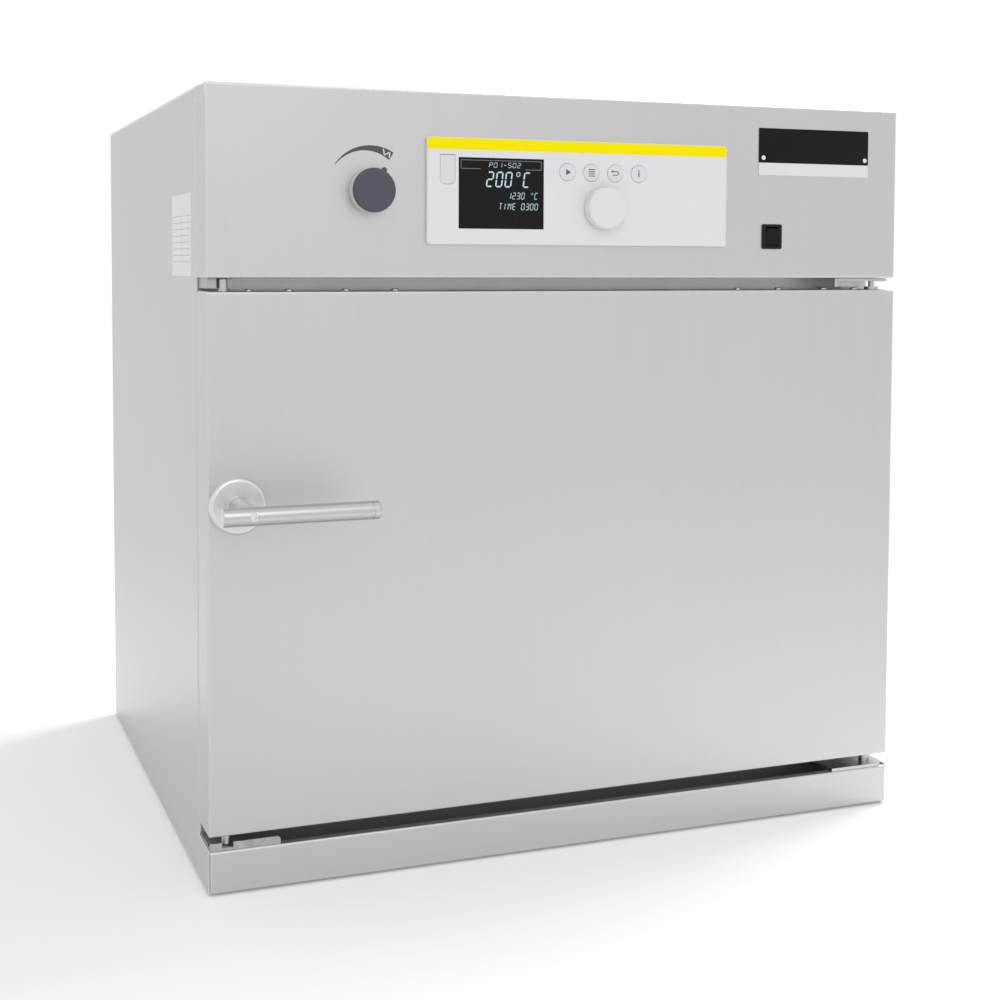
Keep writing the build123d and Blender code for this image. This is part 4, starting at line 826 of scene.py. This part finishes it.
def add_floor():
    """A plain pale floor that keeps the object's shadow and runs into a white background."""
    deselect_all()
    bpy.ops.mesh.primitive_plane_add(size=FLOOR_SIZE, location=(0, 0, -FLOOR_DROP))
    floor = bpy.context.active_object
    floor.name = "studio_floor"
    material = bpy.data.materials.new("floor_paint")
    material.use_nodes = True
    tree = material.node_tree
    output = tree.nodes["Material Output"]
    paint = tree.nodes["Principled BSDF"]
    paint.inputs["Base Color"].default_value = (0.86, 0.86, 0.86, 1)
    paint.inputs["Roughness"].default_value = 0.9
    paint.inputs["Specular IOR Level"].default_value = 0.1
    seen = tree.nodes.new("ShaderNodeBsdfDiffuse")
    seen.inputs["Color"].default_value = WHITE
    lift = tree.nodes.new("ShaderNodeEmission")
    lift.inputs["Color"].default_value = WHITE
    lift.inputs["Strength"].default_value = FLOOR_LIFT
    near = tree.nodes.new("ShaderNodeAddShader")
    tree.links.new(seen.outputs[0], near.inputs[0])
    tree.links.new(lift.outputs[0], near.inputs[1])
    white = tree.nodes.new("ShaderNodeEmission")
    white.inputs["Color"].default_value = WHITE
    white.inputs["Strength"].default_value = 1.0
    distance = tree.nodes.new("ShaderNodeVectorMath")
    distance.operation = "LENGTH"
    tree.links.new(surface_place(tree, (1, 1, 1)), distance.inputs[0])
    both = tree.nodes.new("ShaderNodeMixShader")
    tree.links.new(spread(tree, distance.outputs["Value"], 0, 1, *FLOOR_FADE), both.inputs["Fac"])
    tree.links.new(near.outputs[0], both.inputs[1])
    tree.links.new(white.outputs[0], both.inputs[2])
    choose = tree.nodes.new("ShaderNodeMixShader")
    tree.links.new(seen_directly(tree), choose.inputs["Fac"])
    tree.links.new(paint.outputs[0], choose.inputs[1])
    tree.links.new(both.outputs[0], choose.inputs[2])
    tree.links.new(choose.outputs[0], output.inputs["Surface"])
    floor.data.materials.append(material)


def set_world():
    """An even studio light, and white for what looks past the floor."""
    world = bpy.data.worlds.new("studio")
    bpy.context.scene.world = world
    world.use_nodes = True
    tree = world.node_tree
    light = tree.nodes["Background"]
    light.inputs["Color"].default_value = WHITE
    light.inputs["Strength"].default_value = WORLD_STRENGTH
    white = tree.nodes.new("ShaderNodeBackground")
    white.inputs["Color"].default_value = WHITE
    white.inputs["Strength"].default_value = 1.0
    choose = tree.nodes.new("ShaderNodeMixShader")
    tree.links.new(seen_directly(tree), choose.inputs["Fac"])
    tree.links.new(light.outputs[0], choose.inputs[1])
    tree.links.new(white.outputs[0], choose.inputs[2])
    tree.links.new(choose.outputs[0], tree.nodes["World Output"].inputs["Surface"])


def add_lamp(name, place, target, size, power):
    """A square soft lamp that faces a point."""
    data = bpy.data.lights.new(name, "AREA")
    data.size = size
    data.energy = power
    lamp = bpy.data.objects.new(name, data)
    bpy.context.scene.collection.objects.link(lamp)
    lamp.location = place
    lamp.rotation_euler = (Vector(target) - Vector(place)).to_track_quat("-Z", "Y").to_euler()


def add_camera():
    """The camera at the photograph's place."""
    data = bpy.data.cameras.new("photo_camera")
    data.sensor_width = CAMERA_SENSOR
    data.lens = CAMERA_LENS
    data.shift_y = CAMERA_SHIFT
    camera = bpy.data.objects.new("photo_camera", data)
    bpy.context.scene.collection.objects.link(camera)
    camera.location = CAMERA_PLACE
    camera.rotation_euler = [math.radians(turn) for turn in CAMERA_TURN]
    bpy.context.scene.camera = camera


add_floor()
set_world()
for lamp_values in LAMPS:
    add_lamp(*lamp_values)
add_camera()
bpy.context.scene.view_settings.view_transform = "Standard"

deselect_all()
